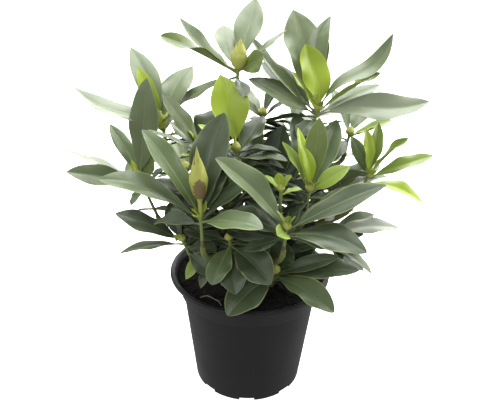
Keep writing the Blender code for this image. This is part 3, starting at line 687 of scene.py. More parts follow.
def build_limbs():
    """The trunk and one bough for each shoot, each starting just clear of the limb that carries it."""
    foot = np.array(TRUNK_FOOT) + (0.0, 0.0, GAP)
    tip = np.array(TRUNK_TIP)
    upright = np.array((0.0, 0.0, (tip - foot)[2] / 3))
    limbs = {"trunk": Limb([foot, foot + upright, tip - upright, tip], TRUNK_RADII, TRUNK_FLARE)}
    bodies = {"trunk": limbs["trunk"].body()}
    for name, (carrier, along, bearing, rise, foot_radius, tip_radius) in BOUGHS.items():
        shoot = SHOOTS[name]
        axis = shoot_axis(shoot)
        tip = np.array(shoot["at"]) - axis * (shoot["stem"] + GAP + CLEARING_STEP)
        origin = limbs[carrier].place(along)
        heading = bearing_vector(bearing, rise)
        points, faces = bodies[carrier]
        tree = search_tree(points, faces)
        offset = 0.0 if along == 1.0 else limbs[carrier].radius(along) * BOUGH_INSET
        while True:
            foot = origin + heading * offset
            span = np.linalg.norm(tip - foot) * BOUGH_SPAN
            limb = Limb([foot, foot + heading * span, tip - axis * span, tip], (foot_radius, tip_radius))
            points, faces = limb.body()
            crossing = search_tree(points, faces).overlap(tree)
            if not crossing and nearest_gap(points[:LIMB_SIDES], tree) > GAP:
                break
            offset += CLEARING_STEP
        limbs[name] = limb
        bodies[name] = (points, faces)
    return limbs, bodies


def blade_width(t, point):
    """The blade's half width as a share of its widest, from foot to tip. A higher point draws the tip out."""
    if t <= 0 or t >= 1:
        return 0.0
    rise = point * WIDEST_AT / (1 - WIDEST_AT)
    return (t / WIDEST_AT) ** rise * ((1 - t) / (1 - WIDEST_AT)) ** point


def rolled(face, side, turn):
    """A leaf's upper side and its right-hand side, turned about its length by some degrees."""
    c = math.cos(math.radians(turn))
    s = math.sin(math.radians(turn))
    return face * c + side * s, side * c - face * s


def leaf_frame(sizes, axis):
    """The way that a leaf points, its upper side and its right-hand side."""
    along = bearing_vector(sizes["bearing"], sizes["rise"])
    face = axis - (axis @ along) * along
    face = unit(face) if np.linalg.norm(face) > 1e-6 else across(along)[0]
    face, side = rolled(face, np.cross(along, face), sizes["roll"])
    return along, face, side


def leaf_body(foot, sizes, axis, spare=0.0):
    """A leaf: a petiole and a folded blade lofted through lens-shaped sections."""
    along, face, side = leaf_frame(sizes, axis)
    rings = []
    for s in STATIONS:
        bow = sizes["arch"] * 4 * s * (1 - s) + sizes["ess"] * math.sin(2 * math.pi * s)
        bow = bow + sizes["curl"] * s**4
        centre = foot + sizes["length"] * (s * along + bow * face + sizes["hook"] * s**4 * side)
        if s == STATIONS[-1]:
            rings.append(np.array([centre + along * spare]))
            continue
        half = sizes["width"] / 2 * blade_width((s - PETIOLE) / (1 - PETIOLE), sizes["point"])
        half = max(half, PETIOLE_RADIUS) + spare
        thick = max(LEAF_THICKNESS / 2, PETIOLE_RADIUS * (1 - s * PETIOLE_FADE)) + spare
        up, out = rolled(face, side, -sizes["twist"] * s * s)
        lift = half * math.tan(math.radians(FOLD)) if s > PETIOLE else 0.0
        rings.append(np.array([
            centre - out * half + up * lift,
            centre - up * thick,
            centre + out * half + up * lift,
            centre + up * thick,
        ]))
    return loft(rings)


def leaf_foot(shoot, sizes):
    """Flatter leaves leave the shoot lower down."""
    axis = shoot_axis(shoot)
    lean = max(0.0, axis @ bearing_vector(sizes["bearing"], sizes["rise"]))
    return np.array(shoot["at"]) - axis * WHORL_DEPTH * (1 - lean)


def stem_body(shoot):
    """The green stem under a whorl, from just above its bough to the foot of the bud."""
    axis = shoot_axis(shoot)
    top = np.array(shoot["at"], float)
    low = top - axis * shoot["stem"]
    return loft([
        circle(low, axis, SHOOT_RADII[0], SHOOT_SIDES),
        circle(low + axis * shoot["stem"] * 0.5, axis, SHOOT_RADII[1], SHOOT_SIDES),
        circle(top + axis * STEM_OVER, axis, SHOOT_RADII[1], SHOOT_SIDES),
    ])


def bud_body(shoot):
    """A pointed bud on the shoot's tip."""
    axis = shoot_axis(shoot)
    length, radius = shoot["bud"]
    foot = np.array(shoot["at"]) - axis * 1.0
    rings = []
    for s, share in FLOWER_PROFILE if "flower" in shoot else BUD_PROFILE:
        rings.append(circle(foot + axis * length * s, axis, radius * share, SHOOT_SIDES))
    rings.append(np.array([foot + axis * length]))
    return loft(rings)


def place_leaves(limb_bodies):
    """Every shoot's leaves in turn. One that would touch another mass or a limb is turned or left out."""
    placed = Placed()
    for points, faces in limb_bodies.values():
        placed.add("limb", points, faces)
    for name, shoot in SHOOTS.items():
        placed.add(name, *stem_body(shoot))
        placed.add(name, *bud_body(shoot))
    kept = {name: [] for name in SHOOTS}
    most = max(len(shoot["leaves"]) for shoot in SHOOTS.values())
    for index in range(most):
        for name, shoot in SHOOTS.items():
            if index >= len(shoot["leaves"]):
                continue
            first = shoot["leaves"][index]
            axis = shoot_axis(shoot)
            for turn, lift in NUDGES:
                sizes = dict(first, bearing=first["bearing"] + turn, rise=first["rise"] + lift)
                foot = leaf_foot(shoot, sizes)
                if not placed.touches(name, *leaf_body(foot, sizes, axis, spare=GAP)):
                    placed.add(name, *leaf_body(foot, sizes, axis))
                    kept[name].append((foot, sizes))
                    break
    return kept, placed


def add_old_leaves(kept, placed):
    """Older leaves below the whorls, turned inwards, each only where it touches nothing. Their dark tone is
    partly their own and partly painted shade.
    """
    rng = random.Random(SEED + 1)
    for name, shoot in SHOOTS.items():
        if name in OLD_BARE:
            continue
        axis = shoot_axis(shoot)
        inwards = math.degrees(math.atan2(-shoot["at"][0], shoot["at"][1])) % 360
        added = 0
        for _ in range(OLD_TRIES):
            length = rng.uniform(*OLD_LENGTH)
            sizes = leaf(
                inwards + rng.uniform(-OLD_REACH, OLD_REACH), rng.uniform(*OLD_RISE), length,
                length * rng.uniform(*OLD_WIDTH), roll=rng.uniform(-OLD_ROLL, OLD_ROLL),
                arch=rng.uniform(*OLD_ARCH), tone="old",
            )
            foot = np.array(shoot["at"]) - axis * min(rng.uniform(*OLD_DROP), shoot["stem"] - OLD_STEM_FOOT)
            along = bearing_vector(sizes["bearing"], sizes["rise"])
            tip = foot + along * length
            if added == OLD_MOST or np.hypot(tip[0], tip[1]) > OLD_RADIUS or tip[2] > OLD_CEILING:
                continue
            clear = foot + along * OLD_CLEARING
            if not placed.touches("none", *leaf_body(clear, sizes, axis)):
                placed.add(name, *leaf_body(foot, sizes, axis))
                kept[name].append((foot, sizes))
                added += 1


class Batch:
    """Points, triangles and each triangle's slot, gathered for one joined mesh."""

    def __init__(self):
        self.points = []
        self.triangles = []
        self.slots = []
        self.count = 0

    def add(self, points, triangles, slots):
        points = np.asarray(points, float).reshape(-1, 3)
        self.points.append(points)
        self.triangles.append(np.asarray(triangles) + self.count)
        self.slots.append(np.broadcast_to(slots, len(triangles)))
        self.count += len(points)

    def build(self, name, looks, crease=50.0):
        """One mesh object of all that was added, with its materials in slot order."""
        points = (np.concatenate(self.points) * MM).astype(np.float32)
        triangles = np.concatenate(self.triangles).astype(np.int32)
        mesh = bpy.data.meshes.new(name)
        mesh.vertices.add(len(points))
        mesh.vertices.foreach_set("co", points.ravel())
        mesh.loops.add(triangles.size)
        mesh.loops.foreach_set("vertex_index", triangles.ravel())
        mesh.polygons.add(len(triangles))
        mesh.polygons.foreach_set("loop_start", np.arange(0, triangles.size, 3, dtype=np.int32))
        for look in looks:
            mesh.materials.append(look)
        mesh.polygons.foreach_set("material_index", np.concatenate(self.slots).astype(np.int32))
        mesh.update(calc_edges=True)
        mesh.validate()
        mesh.shade_smooth()
        mesh.set_sharp_from_angle(angle=math.radians(crease))
        obj = bpy.data.objects.new(name, mesh)
        bpy.context.scene.collection.objects.link(obj)
        return obj


def grid_triangles(rows, columns, wrap=False):
    """Triangles of a grid of points, two to a square, and the column strip that each one is in."""
    i = np.arange(rows - 1)[:, None]
    j = np.arange(columns if wrap else columns - 1)[None, :]
    k = (j + 1) % columns
    corners = [i * columns + j, i * columns + k, (i + 1) * columns + k, (i + 1) * columns + j]
    a, b, c, d = np.broadcast_arrays(*corners)
    strips = np.broadcast_to(j, a.shape)
    return np.stack([a, b, c, a, c, d], axis=-1).reshape(-1, 3), np.repeat(strips.reshape(-1), 2)


def fan(first, count, flip=False):
    """Triangles that close a ring of points."""
    middle = np.arange(1, count - 1)
    ends = (middle, middle + 1) if flip else (middle + 1, middle)
    return np.stack([np.zeros_like(middle), *ends], axis=-1) + first


def closed_tube(rings):
    """Triangles of a tube through rows of equal rings, closed at both ends, and each one's row and side."""
    rows, sides = rings.shape[:2]
    skin, strips = grid_triangles(rows, sides, wrap=True)
    caps = [fan(0, sides), fan((rows - 1) * sides, sides, flip=True)]
    row_of = np.repeat(np.arange(rows - 1), sides * 2)
    every_row = np.concatenate([row_of, np.zeros(len(caps[0]), int), np.full(len(caps[1]), rows - 1)])
    every_strip = np.concatenate([strips, np.zeros(len(caps[0]) + len(caps[1]), int)])
    return np.concatenate([skin, *caps]), every_row, every_strip


def carried_frames(centres):
    """Two unit vectors square to the way at each point of a path, carried along it with no twist."""
    ways = np.gradient(centres, axis=0)
    ways /= np.linalg.norm(ways, axis=1, keepdims=True)
    us = [across(ways[0])[0]]
    for way in ways[1:]:
        us.append(unit(us[-1] - way * (us[-1] @ way)))
    us = np.array(us)
    return us, np.cross(ways, us)


def tube_rings(centres, radii, sides):
    """Rings round a path. radii has one number for each row, or one for each row and side."""
    us, vs = carried_frames(centres)
    turns = 2 * np.pi * np.arange(sides) / sides
    radii = np.broadcast_to(np.asarray(radii).reshape(len(centres), -1), (len(centres), sides))
    around = np.cos(turns)[None, :, None] * us[:, None] + np.sin(turns)[None, :, None] * vs[:, None]
    return centres[:, None] + radii[..., None] * around


def fine_leaf(batch, foot, sizes, axis, rng):
    """A leaf on the model's own line: a thin closed blade, folded, waved and veined, its petiole and rib."""
    along, face, side = leaf_frame(sizes, axis)
    length = sizes["length"]
    droop = rng.uniform(*BLADE_DROOP)
    sickle = rng.uniform(-BLADE_SICKLE, BLADE_SICKLE)

    def line(s):
        """The centreline, and the unit vectors up from the blade and out to its side, at each share s."""
        bow = sizes["arch"] * 4 * s * (1 - s) + sizes["ess"] * np.sin(2 * np.pi * s)
        bow = bow + sizes["curl"] * s**4 - droop * s**3
        sway = sickle * np.sin(np.pi * s) + sizes["hook"] * s**4
        turn = np.radians(sizes["twist"]) * s[:, None] ** 2
        centre = foot + length * (s[:, None] * along + bow[:, None] * face + sway[:, None] * side)
        return centre, face * np.cos(turn) - side * np.sin(turn), side * np.cos(turn) + face * np.sin(turn)

    add_blade(batch, sizes, line, rng)
    add_rib(batch, line)


def add_blade(batch, sizes, line, rng):
    """The blade: rings of points over its upper side and back under it, from petiole to tip."""
    plain = sizes["tone"] == "old" or sizes["length"] < PLAIN_BELOW
    rows, columns = (OLD_ROWS, OLD_COLUMNS) if plain else (LEAF_ROWS, LEAF_COLUMNS)
    share = np.sin(np.linspace(0.0, 0.5, rows) * np.pi)
    t = np.clip(ROW_EASE * share + (1 - ROW_EASE) * np.linspace(0.0, 1.0, rows), 0.0, 1.0)
    centre, up, out = line(PETIOLE + (1 - PETIOLE) * t)
    half = np.array([sizes["width"] / 2 * BLADE_SPREAD * blade_width(x, sizes["point"]) for x in t])
    half = np.maximum(half, BLADE_LEAST)
    u = np.array(columns)
    reach = np.abs(u)
    fold = rng.uniform(*BLADE_FOLD)
    recurve = rng.uniform(*BLADE_ROLL)
    ramp = np.minimum(1.0, t * BLADE_OPENING)[:, None]
    height = half[:, None] * (fold * reach - recurve * reach**2) * ramp
    for sign in (-1, 1):
        waves = rng.uniform(*BLADE_WAVES)
        phase = rng.uniform(0, 2 * math.pi)
        size = rng.uniform(*BLADE_WAVE) * np.sin(np.pi * t)
        wave = size * np.sin(2 * np.pi * waves * t + phase)
        height = height + np.where(u * sign > 0, reach**2, 0.0) * (half * wave)[:, None]
    cycle = 2 * np.pi * VEINS * (t[:, None] - VEIN_SWEEP * reach)
    between = np.sin(np.pi * np.clip(reach, 0, VEIN_REACH) / VEIN_REACH)
    groove = between * np.cos(cycle) ** VEIN_SHARPNESS
    height = height - VEIN_DEPTH * groove * np.minimum(1.0, half / VEIN_FULL)[:, None]
    spread = half[:, None] * u * np.cos(fold)
    top = centre[:, None] + out[:, None] * spread[..., None] + up[:, None] * height[..., None]
    thick = BLADE_THICKNESS * np.minimum(1.0, half / 2.0)
    under = top - up[:, None] * thick[:, None, None]
    rings = np.concatenate([top, under[:, ::-1]], axis=1)
    triangles, _, strips = closed_tube(rings)
    last = len(u) - 1
    slots = np.where(strips < last, 0, 1)
    slots[np.isin(strips, (0, last - 1, last, 2 * last + 1))] = 3
    batch.add(rings, triangles, slots)


def add_rib(batch, line):
    """The petiole, which runs on as a rib let into the blade's middle."""
    s = np.linspace(0.0, RIB_END, RIB_ROWS)
    centre, up, out = line(s)
    radii = np.interp(s, (0.0, PETIOLE * 1.4, 1.0), RIB_RADII)
    sunk = centre - up * (radii * np.interp(s, (PETIOLE, PETIOLE * 2), (0.0, RIB_SUNK)))[:, None]
    turns = 2 * np.pi * np.arange(RIB_SIDES) / RIB_SIDES
    around = np.cos(turns)[None, :, None] * up[:, None] - np.sin(turns)[None, :, None] * out[:, None]
    rings = sunk[:, None] + radii[:, None, None] * around
    batch.add(rings, closed_tube(rings)[0], 2)


def bud_radius(s, profile):
    """The bud's radius as a share of its widest, from its foot at 0 to its point at 1."""
    places = [place for place, _ in profile] + [1.0]
    shares = [share for _, share in profile] + [0.02]
    return np.interp(s, places, shares)


def fine_bud(batch, shoot, rng):
    """A bud: a pointed core under scales that overlap upwards, the lowest ones brown on the flower bud."""
    axis = shoot_axis(shoot)
    u, v = across(axis)
    length, radius = shoot["bud"]
    flower = "flower" in shoot
    profile = FLOWER_PROFILE if flower else BUD_PROFILE
    feet = FLOWER_FEET if flower else SCALE_FEET
    foot = np.array(shoot["at"], float) - axis
    s = np.linspace(0.0, 1.0, BUD_CORE_ROWS)
    core = bud_radius(s, profile) * radius * BUD_CORE_SHARE
    rings = tube_rings(foot + s[:, None] * length * axis, core, BUD_CORE_SIDES)
    batch.add(rings, closed_tube(rings)[0], 0)
    rows = np.linspace(0.0, 1.0, SCALE_ROWS)[:, None]
    columns = np.linspace(-1.0, 1.0, SCALE_COLUMNS)[None, :]
    triangles, _ = grid_triangles(SCALE_ROWS, SCALE_COLUMNS)
    for k in range(BUD_SCALES):
        share = k / BUD_SCALES
        low = feet[0] + feet[1] * share
        span = SCALE_LENGTH * (FLOWER_SCALE if flower else 1) * (1 - SCALE_SHORTER * share)
        span = span * rng.uniform(*SCALE_VARIES)
        place = np.minimum(low + span * rows, 0.99)
        spread = columns * math.radians(SCALE_SPREAD) * (1 - rows**2.4) ** 0.7
        turn = math.radians(BUD_TURN + GOLDEN_TURN * k) + spread
        bulge = 1 - SCALE_BULGE * columns**2
        lift = SCALE_LIFT * (0.4 + rows**2) * bulge + SCALE_LAYER * (1 - share)
        away = radius * bud_radius(place, profile) * (0.9 + 0.1 * bulge) + lift
        around = np.cos(turn)[..., None] * u + np.sin(turn)[..., None] * v
        points = foot + (place * length + 0 * columns)[..., None] * axis + away[..., None] * around
        batch.add(points, triangles, 1 if flower and k < HUSKS else 0)


def fine_stem(batch, shoot, rng):
    """The green stem under a whorl, with low bumps where leaves left it, swelling under the bud."""
    axis = shoot_axis(shoot)
    top = np.array(shoot["at"], float)
    s = np.linspace(0.0, 1.0, STEM_ROWS)
    centres = top - axis * shoot["stem"] + s[:, None] * axis * (shoot["stem"] + STEM_OVER)
    radii = np.interp(s, (0.0, 0.6, 1.0), (*SHOOT_RADII, SHOOT_RADII[1] * STEM_SWELL))
    turns = 2 * np.pi * np.arange(STEM_TURNS) / STEM_TURNS
    bumps = STEM_BUMP * np.sin(3 * turns[None, :] + rng.uniform(0, 6) + 9 * s[:, None])
    rings = tube_rings(centres, radii[:, None] * (1 + bumps), STEM_TURNS)
    triangles, rows, _ = closed_tube(rings)
    batch.add(rings, triangles, np.where(rows < STEM_ROWS * STEM_BROWN, 1, 0))


def fine_limb(batch, limb, name, rng):
    """A limb with the bark's ridges and leaf scars. Its foot runs back into the limb that carries it."""
    t = np.linspace(0.0, 1.0, LIMB_ROWS)
    centres = np.array([limb.place(x) for x in t])
    radii = np.array([limb.radius(x) for x in t])
    length = np.linalg.norm(np.diff(centres, axis=0), axis=1).sum()
    if name != "trunk":
        back = unit(centres[0] - centres[1])
        centres = np.concatenate([[centres[0] + back * limb.radii[0]], centres])
        radii = np.concatenate([[limb.radii[0]], radii])
        t = np.concatenate([[0.0], t])
        radii = radii * (1 + LIMB_FOOT_SWELL * np.exp(-t * length / (2 * limb.radii[0])))
    ahead = unit(centres[-1] - centres[-2])
    centres = np.concatenate([centres, [centres[-1] + ahead * LIMB_OVER]])
    radii = np.concatenate([radii, radii[-1:] * 0.9])
    t = np.concatenate([t, [1.0]])
    turns = 2 * np.pi * np.arange(LIMB_TURNS) / LIMB_TURNS
    if name != "trunk":
        radii = radii * np.interp(t, (GREEN_WOOD_FROM - 0.1, GREEN_WOOD_FROM + 0.1), (1.0, GREEN_WOOD_SWELL))
    relief = np.zeros((len(t), LIMB_TURNS))
    for waves, climb, weight in BARK_WAVES:
        relief += weight * np.sin(waves * turns[None, :] + climb * t[:, None] + rng.uniform(0, 6.3))
    scars = np.zeros_like(relief)
    for k in range(SCARS):
        place = (k + rng.uniform(0.2, 0.8)) / SCARS
        near = np.exp(-(((t - place) * length / SCAR_WIDTH) ** 2))
        scars += near[:, None] * (0.6 + 0.4 * np.cos(turns[None, :] - GOLDEN_TURN * k))
    rings = tube_rings(centres, radii[:, None] * (1 + BARK_RIDGE * relief + SCAR_HEIGHT * scars), LIMB_TURNS)
    triangles, rows, _ = closed_tube(rings)
    green = (t[np.minimum(rows, len(t) - 1)] > GREEN_WOOD_FROM) & (name != "trunk")
    batch.add(rings, triangles, np.where(green, 1, 0))


def softened(corners, steps=6):
    """A closed outline from (radius, height, rounding) corners, each corner eased over its rounding."""
    outline = []
    for k, (r, z, rounding) in enumerate(corners):
        corner = np.array((r, z), float)
        if not rounding:
            outline.append(corner)
            continue
        before = np.array(corners[k - 1][:2]) - corner
        after = np.array(corners[(k + 1) % len(corners)][:2]) - corner
        start = corner + before * min(0.5, rounding / np.linalg.norm(before))
        end = corner + after * min(0.5, rounding / np.linalg.norm(after))
        for q in np.linspace(0.0, 1.0, steps):
            outline.append((1 - q) ** 2 * start + 2 * q * (1 - q) * corner + q * q * end)
    return np.array(outline)


def pot_outline():
    """The pot's section: rolled lip, sloping collar, step, tapered wall and round foot, then the inside."""
    lip_foot = POT_HEIGHT - LIP_HEIGHT
    rim_inside = RIM_RADIUS - LIP_WIDTH
    slope = (WALL_TOP_RADIUS - BASE_RADIUS) / COLLAR_FOOT
    return softened([
        (rim_inside, POT_HEIGHT, 2.4),
        (RIM_RADIUS, POT_HEIGHT, 2.4),
        (RIM_RADIUS, lip_foot, 1.8),
        (COLLAR_TOP_RADIUS, lip_foot, 0.8),
        (COLLAR_FOOT_RADIUS, COLLAR_FOOT, 1.2),
        (WALL_TOP_RADIUS, COLLAR_FOOT - 2.0, 1.0),
        (BASE_RADIUS + slope * FOOT_ROUND, FOOT_ROUND, 2.0),
        (BASE_RADIUS, 0.0, 2.0),
        (0.0, 0.0, 0),
        (0.0, FLOOR, 0),
        (BASE_RADIUS - WALL, FLOOR, 1.5),
        (WALL_TOP_RADIUS - WALL, COLLAR_FOOT - 3.0, 1.0),
        (COLLAR_FOOT_RADIUS - WALL, COLLAR_FOOT + 1.0, 1.0),
        (COLLAR_TOP_RADIUS - WALL, lip_foot, 1.2),
    ])


def lathe(batch, outline, turns, slot):
    """Spins an outline of radius and height. Points on the axis are shared by all its turns."""
    angles = 2 * np.pi * np.arange(turns) / turns
    radius = np.maximum(outline[:, 0], 0.01)
    rings = np.stack([
        radius[:, None] * np.cos(angles),
        radius[:, None] * np.sin(angles),
        np.broadcast_to(outline[:, 1:], (len(outline), turns)),
    ], axis=-1)
    loop = np.concatenate([rings, rings[:1]])
    triangles, _ = grid_triangles(len(loop), turns, wrap=True)
    triangles = triangles % (len(rings) * turns)
    batch.add(rings, triangles[:, ::-1], slot)


def build_pot():
    """The pot's fine mesh, with its drain notches cut from the foot."""
    batch = Batch()
    lathe(batch, pot_outline(), POT_TURNS, 0)
    pot = batch.build("pot_moulded", [pot_plastic()], crease=60.0)
    cutters = Batch()
    for i in range(NOTCHES):
        add_notch(cutters, 2 * math.pi * i / NOTCHES + math.pi / 2)
    cutter = cutters.build("notch_cutter", [])
    cut = pot.modifiers.new("Notches", "BOOLEAN")
    cut.operation = "DIFFERENCE"
    cut.object = cutter
    cut.solver = "EXACT"
    graph = bpy.context.evaluated_depsgraph_get()
    whole = bpy.data.meshes.new_from_object(pot.evaluated_get(graph))
    pot.modifiers.clear()
    pot.data = whole
    bpy.data.objects.remove(cutter)
    whole.set_sharp_from_angle(angle=math.radians(40))
    return pot


def add_notch(batch, angle):
    """A block with two rounded upper corners, set across the pot's foot at this angle."""
    half = NOTCH_WIDTH / 2
    outline = [(-half, -NOTCH_HEIGHT), (half, -NOTCH_HEIGHT)]
    for side, start in ((1, 0), (-1, 90)):
        for step in range(4):
            turn = math.radians(start + 30 * step)
            middle = side * (half - NOTCH_ROUND)
            outline.append((
                middle + NOTCH_ROUND * math.cos(turn),
                NOTCH_HEIGHT - NOTCH_ROUND + NOTCH_ROUND * math.sin(turn),
            ))
    outward = np.array((math.cos(angle), math.sin(angle), 0.0))
    sideways = np.array((-math.sin(angle), math.cos(angle), 0.0))
    rows = []
    for reach in (BASE_RADIUS - NOTCH_DEPTH, BASE_RADIUS + NOTCH_DEPTH):
        rows.append([outward * reach + sideways * y + np.array((0.0, 0.0, z)) for y, z in outline])
    rings = np.array(rows)
    batch.add(rings, closed_tube(rings)[0], 0)


def soil_height(x, y):
    """The soil's surface over a place, in millimetres: a low hump with lumps."""
    away = math.hypot(x, y)
    hump = SOIL_HUMP * max(0.0, 1 - away / RIM_RADIUS)
    lumps = noise.fractal(Vector((x / LUMP_SPAN, y / LUMP_SPAN, SEED)), *LUMP_FRACTAL)
    bank = SOIL_BANK * (away / RIM_RADIUS) ** 4
    return SOIL_TOP + hump + bank + SOIL_LUMP * lumps * min(1.0, (RIM_RADIUS - away) / LUMP_FADE)


def build_soil():
    """Lumpy soil up to the pot's wall, with crumbs, pale flecks and a strand of root on it."""
    share = (SOIL_TOP - COLLAR_FOOT) / (POT_HEIGHT - LIP_HEIGHT - COLLAR_FOOT)
    edge = COLLAR_FOOT_RADIUS + (COLLAR_TOP_RADIUS - COLLAR_FOOT_RADIUS) * share - WALL - GAP
    rng = random.Random(SEED)
    batch = Batch()
    rows = []
    for i in range(SOIL_RINGS + 1):
        radius = max(0.05, edge * (1 - i / SOIL_RINGS))
        places = [2 * math.pi * j / SOIL_TURNS for j in range(SOIL_TURNS)]
        ring = [(radius * math.cos(a), radius * math.sin(a)) for a in places]
        rows.append([(x, y, soil_height(x, y)) for x, y in ring])
    skirt = [(x * SOIL_SKIRT, y * SOIL_SKIRT, COLLAR_FOOT) for x, y, _ in rows[0]]
    rings = np.array([skirt] + rows)
    batch.add(rings, closed_tube(rings)[0], 0)
    for _ in range(CRUMBS):
        add_crumb(batch, rng, edge, CRUMB_SIZES, rng.choice((0, 1, 1, 2)))
    for _ in range(FLECKS):
        add_crumb(batch, rng, edge, FLECK_SIZES, 3)
    strand = [(x, y, soil_height(x, y) + ROOT_LIFT) for x, y in ROOT_PLACES]
    path = smooth_path(strand, ROOT_ROWS)
    rings = tube_rings(path, np.linspace(*ROOT_RADII, ROOT_ROWS), ROOT_SIDES)
    batch.add(rings, closed_tube(rings)[0], 3)
    return batch.build("soil_lumpy", [soil_look(), *crumb_looks()], crease=35.0)


def add_crumb(batch, rng, edge, sizes, slot):
    """One rough lump of soil lying on the surface."""
    radius = edge * math.sqrt(rng.random()) * 0.985
    angle = rng.uniform(0, 2 * math.pi)
    x = radius * math.cos(angle)
    y = radius * math.sin(angle)
    size = sizes[0] + (sizes[1] - sizes[0]) * rng.random() ** 3
    size = min(size, (edge - radius) * 0.9 + 0.4)
    shape = []
    for level in CRUMB_LEVELS:
        wide = math.sqrt(1 - level * level)
        turn = rng.uniform(0, 1)
        for k in range(CRUMB_SIDES):
            a = 2 * math.pi * (k / CRUMB_SIDES + turn)
            push = rng.uniform(*CRUMB_PUSH)
            height = level * rng.uniform(*CRUMB_HEIGHT)
            shape.append((wide * math.cos(a) * push, wide * math.sin(a) * push, height))
    rings = np.array(shape).reshape(len(CRUMB_LEVELS), CRUMB_SIDES, 3) * size
    rings[..., 2] *= rng.uniform(*CRUMB_FLATNESS)
    rings += (x, y, soil_height(x, y) + size * 0.25)
    batch.add(rings, closed_tube(rings)[0], slot)


def smooth_path(points, count):
    """Evenly numbered places along a smooth curve through the points."""
    points = np.array(points)
    knots = np.arange(len(points))
    places = np.linspace(0, len(points) - 1, count)
    slopes = np.gradient(points, axis=0)
    low = np.minimum(places.astype(int), len(points) - 2)
    q = (places - knots[low])[:, None]
    h00 = 2 * q**3 - 3 * q**2 + 1
    h10 = q**3 - 2 * q**2 + q
    h11 = q**3 - q**2
    return h00 * points[low] + h10 * slopes[low] + (1 - h00) * points[low + 1] + h11 * slopes[low + 1]


def principled(name, colour, roughness, specular=0.5):
    """A new Principled material with plain values on its own sockets."""
    made = bpy.data.materials.new(name)
    made.use_nodes = True
    shader = shader_of(made)
    shader.inputs["Base Color"].default_value = (*colour, 1.0)
    shader.inputs["Roughness"].default_value = roughness
    shader.inputs["Specular IOR Level"].default_value = specular
    return made


def shader_of(made):
    return made.node_tree.nodes["Principled BSDF"]


def add_noise(made, scale, detail=3.0):
    """A noise texture in the object's own space, for another node to read."""
    nodes = made.node_tree.nodes
    place = nodes.new("ShaderNodeTexCoord")
    texture = nodes.new("ShaderNodeTexNoise")
    texture.inputs["Scale"].default_value = scale
    texture.inputs["Detail"].default_value = detail
    made.node_tree.links.new(place.outputs["Object"], texture.inputs["Vector"])
    return texture.outputs["Fac"]


def add_bump(made, scale, strength, distance, detail=3.0):
    """Fine relief from noise: scale in grains a metre, distance in metres."""
    tree = made.node_tree
    bump = tree.nodes.new("ShaderNodeBump")
    bump.inputs["Strength"].default_value = strength
    bump.inputs["Distance"].default_value = distance
    tree.links.new(add_noise(made, scale, detail), bump.inputs["Height"])
    tree.links.new(bump.outputs["Normal"], shader_of(made).inputs["Normal"])


def add_range(made, socket, scale, low, high, detail=3.0):
    """Lets a plain number of the shader wander between two values with noise."""
    tree = made.node_tree
    spread = tree.nodes.new("ShaderNodeMapRange")
    spread.inputs["From Min"].default_value = NOISE_SPAN[0]
    spread.inputs["From Max"].default_value = NOISE_SPAN[1]
    spread.inputs["To Min"].default_value = low
    spread.inputs["To Max"].default_value = high
    tree.links.new(add_noise(made, scale, detail), spread.inputs["Value"])
    tree.links.new(spread.outputs["Result"], shader_of(made).inputs[socket])


def add_mottle(made, scale, colours, detail=4.0):
    """Lets the base colour wander through some colours with noise."""
    tree = made.node_tree
    ramp = tree.nodes.new("ShaderNodeValToRGB")
    stops = ramp.color_ramp.elements
    places = np.linspace(*MOTTLE_SPAN, len(colours))
    stops[0].position = places[0]
    stops[0].color = (*colours[0], 1.0)
    stops[1].position = places[-1]
    stops[1].color = (*colours[-1], 1.0)
    for place, colour in zip(places[1:-1], colours[1:-1]):
        stops.new(place).color = (*colour, 1.0)
    tree.links.new(add_noise(made, scale, detail), ramp.inputs["Fac"])
    tree.links.new(ramp.outputs["Color"], shader_of(made).inputs["Base Color"])


def leaf_looks(tone):
    """The four looks of one tone of leaf: upper blade, underside, rib and margin."""
    blade, under, rib, margin = TONES[tone]
    shine = DARK_SHINE if tone in ("old", "deep") else BLADE_SHINE
    looks = [
        principled(f"leaf_{tone}_blade", blade, **shine),
        principled(f"leaf_{tone}_underside", under, 0.6, 0.35),
        principled(f"leaf_{tone}_rib", rib, 0.5, 0.4),
        principled(f"leaf_{tone}_margin", margin, 0.5, 0.4),
    ]
    add_range(looks[0], "Roughness", 90.0, shine["roughness"] - 0.06, shine["roughness"] + 0.08)
    add_bump(looks[0], 700.0, 0.25, 0.0004)
    add_bump(looks[1], 900.0, 0.3, 0.0004)
    return looks


def pot_plastic():
    """Black moulded plastic, satin, with faint dust."""
    look = principled("pot_plastic", (0.0095, 0.010, 0.0100), 0.46, 0.3)
    add_range(look, "Roughness", 18.0, 0.4, 0.52)
    add_bump(look, 420.0, 0.12, 0.0004)
    return look


def soil_look():
    """Dark moist potting soil."""
    look = principled("soil_surface", (0.008, 0.007, 0.006), 0.95, 0.2)
    add_mottle(look, 240.0, ((0.0025, 0.0025, 0.002), (0.0055, 0.005, 0.0045), (0.014, 0.012, 0.010)))
    add_bump(look, 500.0, 0.9, 0.0012, 6.0)
    return look


def crumb_looks():
    """Two browns and a pale look for what lies on the soil."""
    return [
        principled("soil_crumb_dark", (0.008, 0.006, 0.005), 0.9, 0.3),
        principled("soil_crumb_brown", (0.022, 0.015, 0.009), 0.9, 0.3),
        principled("soil_fleck", (0.30, 0.25, 0.16), 0.8, 0.3),
    ]


def bark_looks():
    """Grey-brown bark on old wood and green-brown skin on new wood."""
    old = principled("bark_old", (0.09, 0.07, 0.045), 0.85, 0.3)
    add_mottle(old, 320.0, ((0.045, 0.034, 0.022), (0.10, 0.078, 0.05), (0.17, 0.14, 0.095)))
    add_bump(old, 900.0, 0.7, 0.0008, 5.0)
    new = principled("bark_new", (0.17, 0.19, 0.06), 0.6, 0.4)
    add_bump(new, 700.0, 0.35, 0.0005)
    return [old, new]


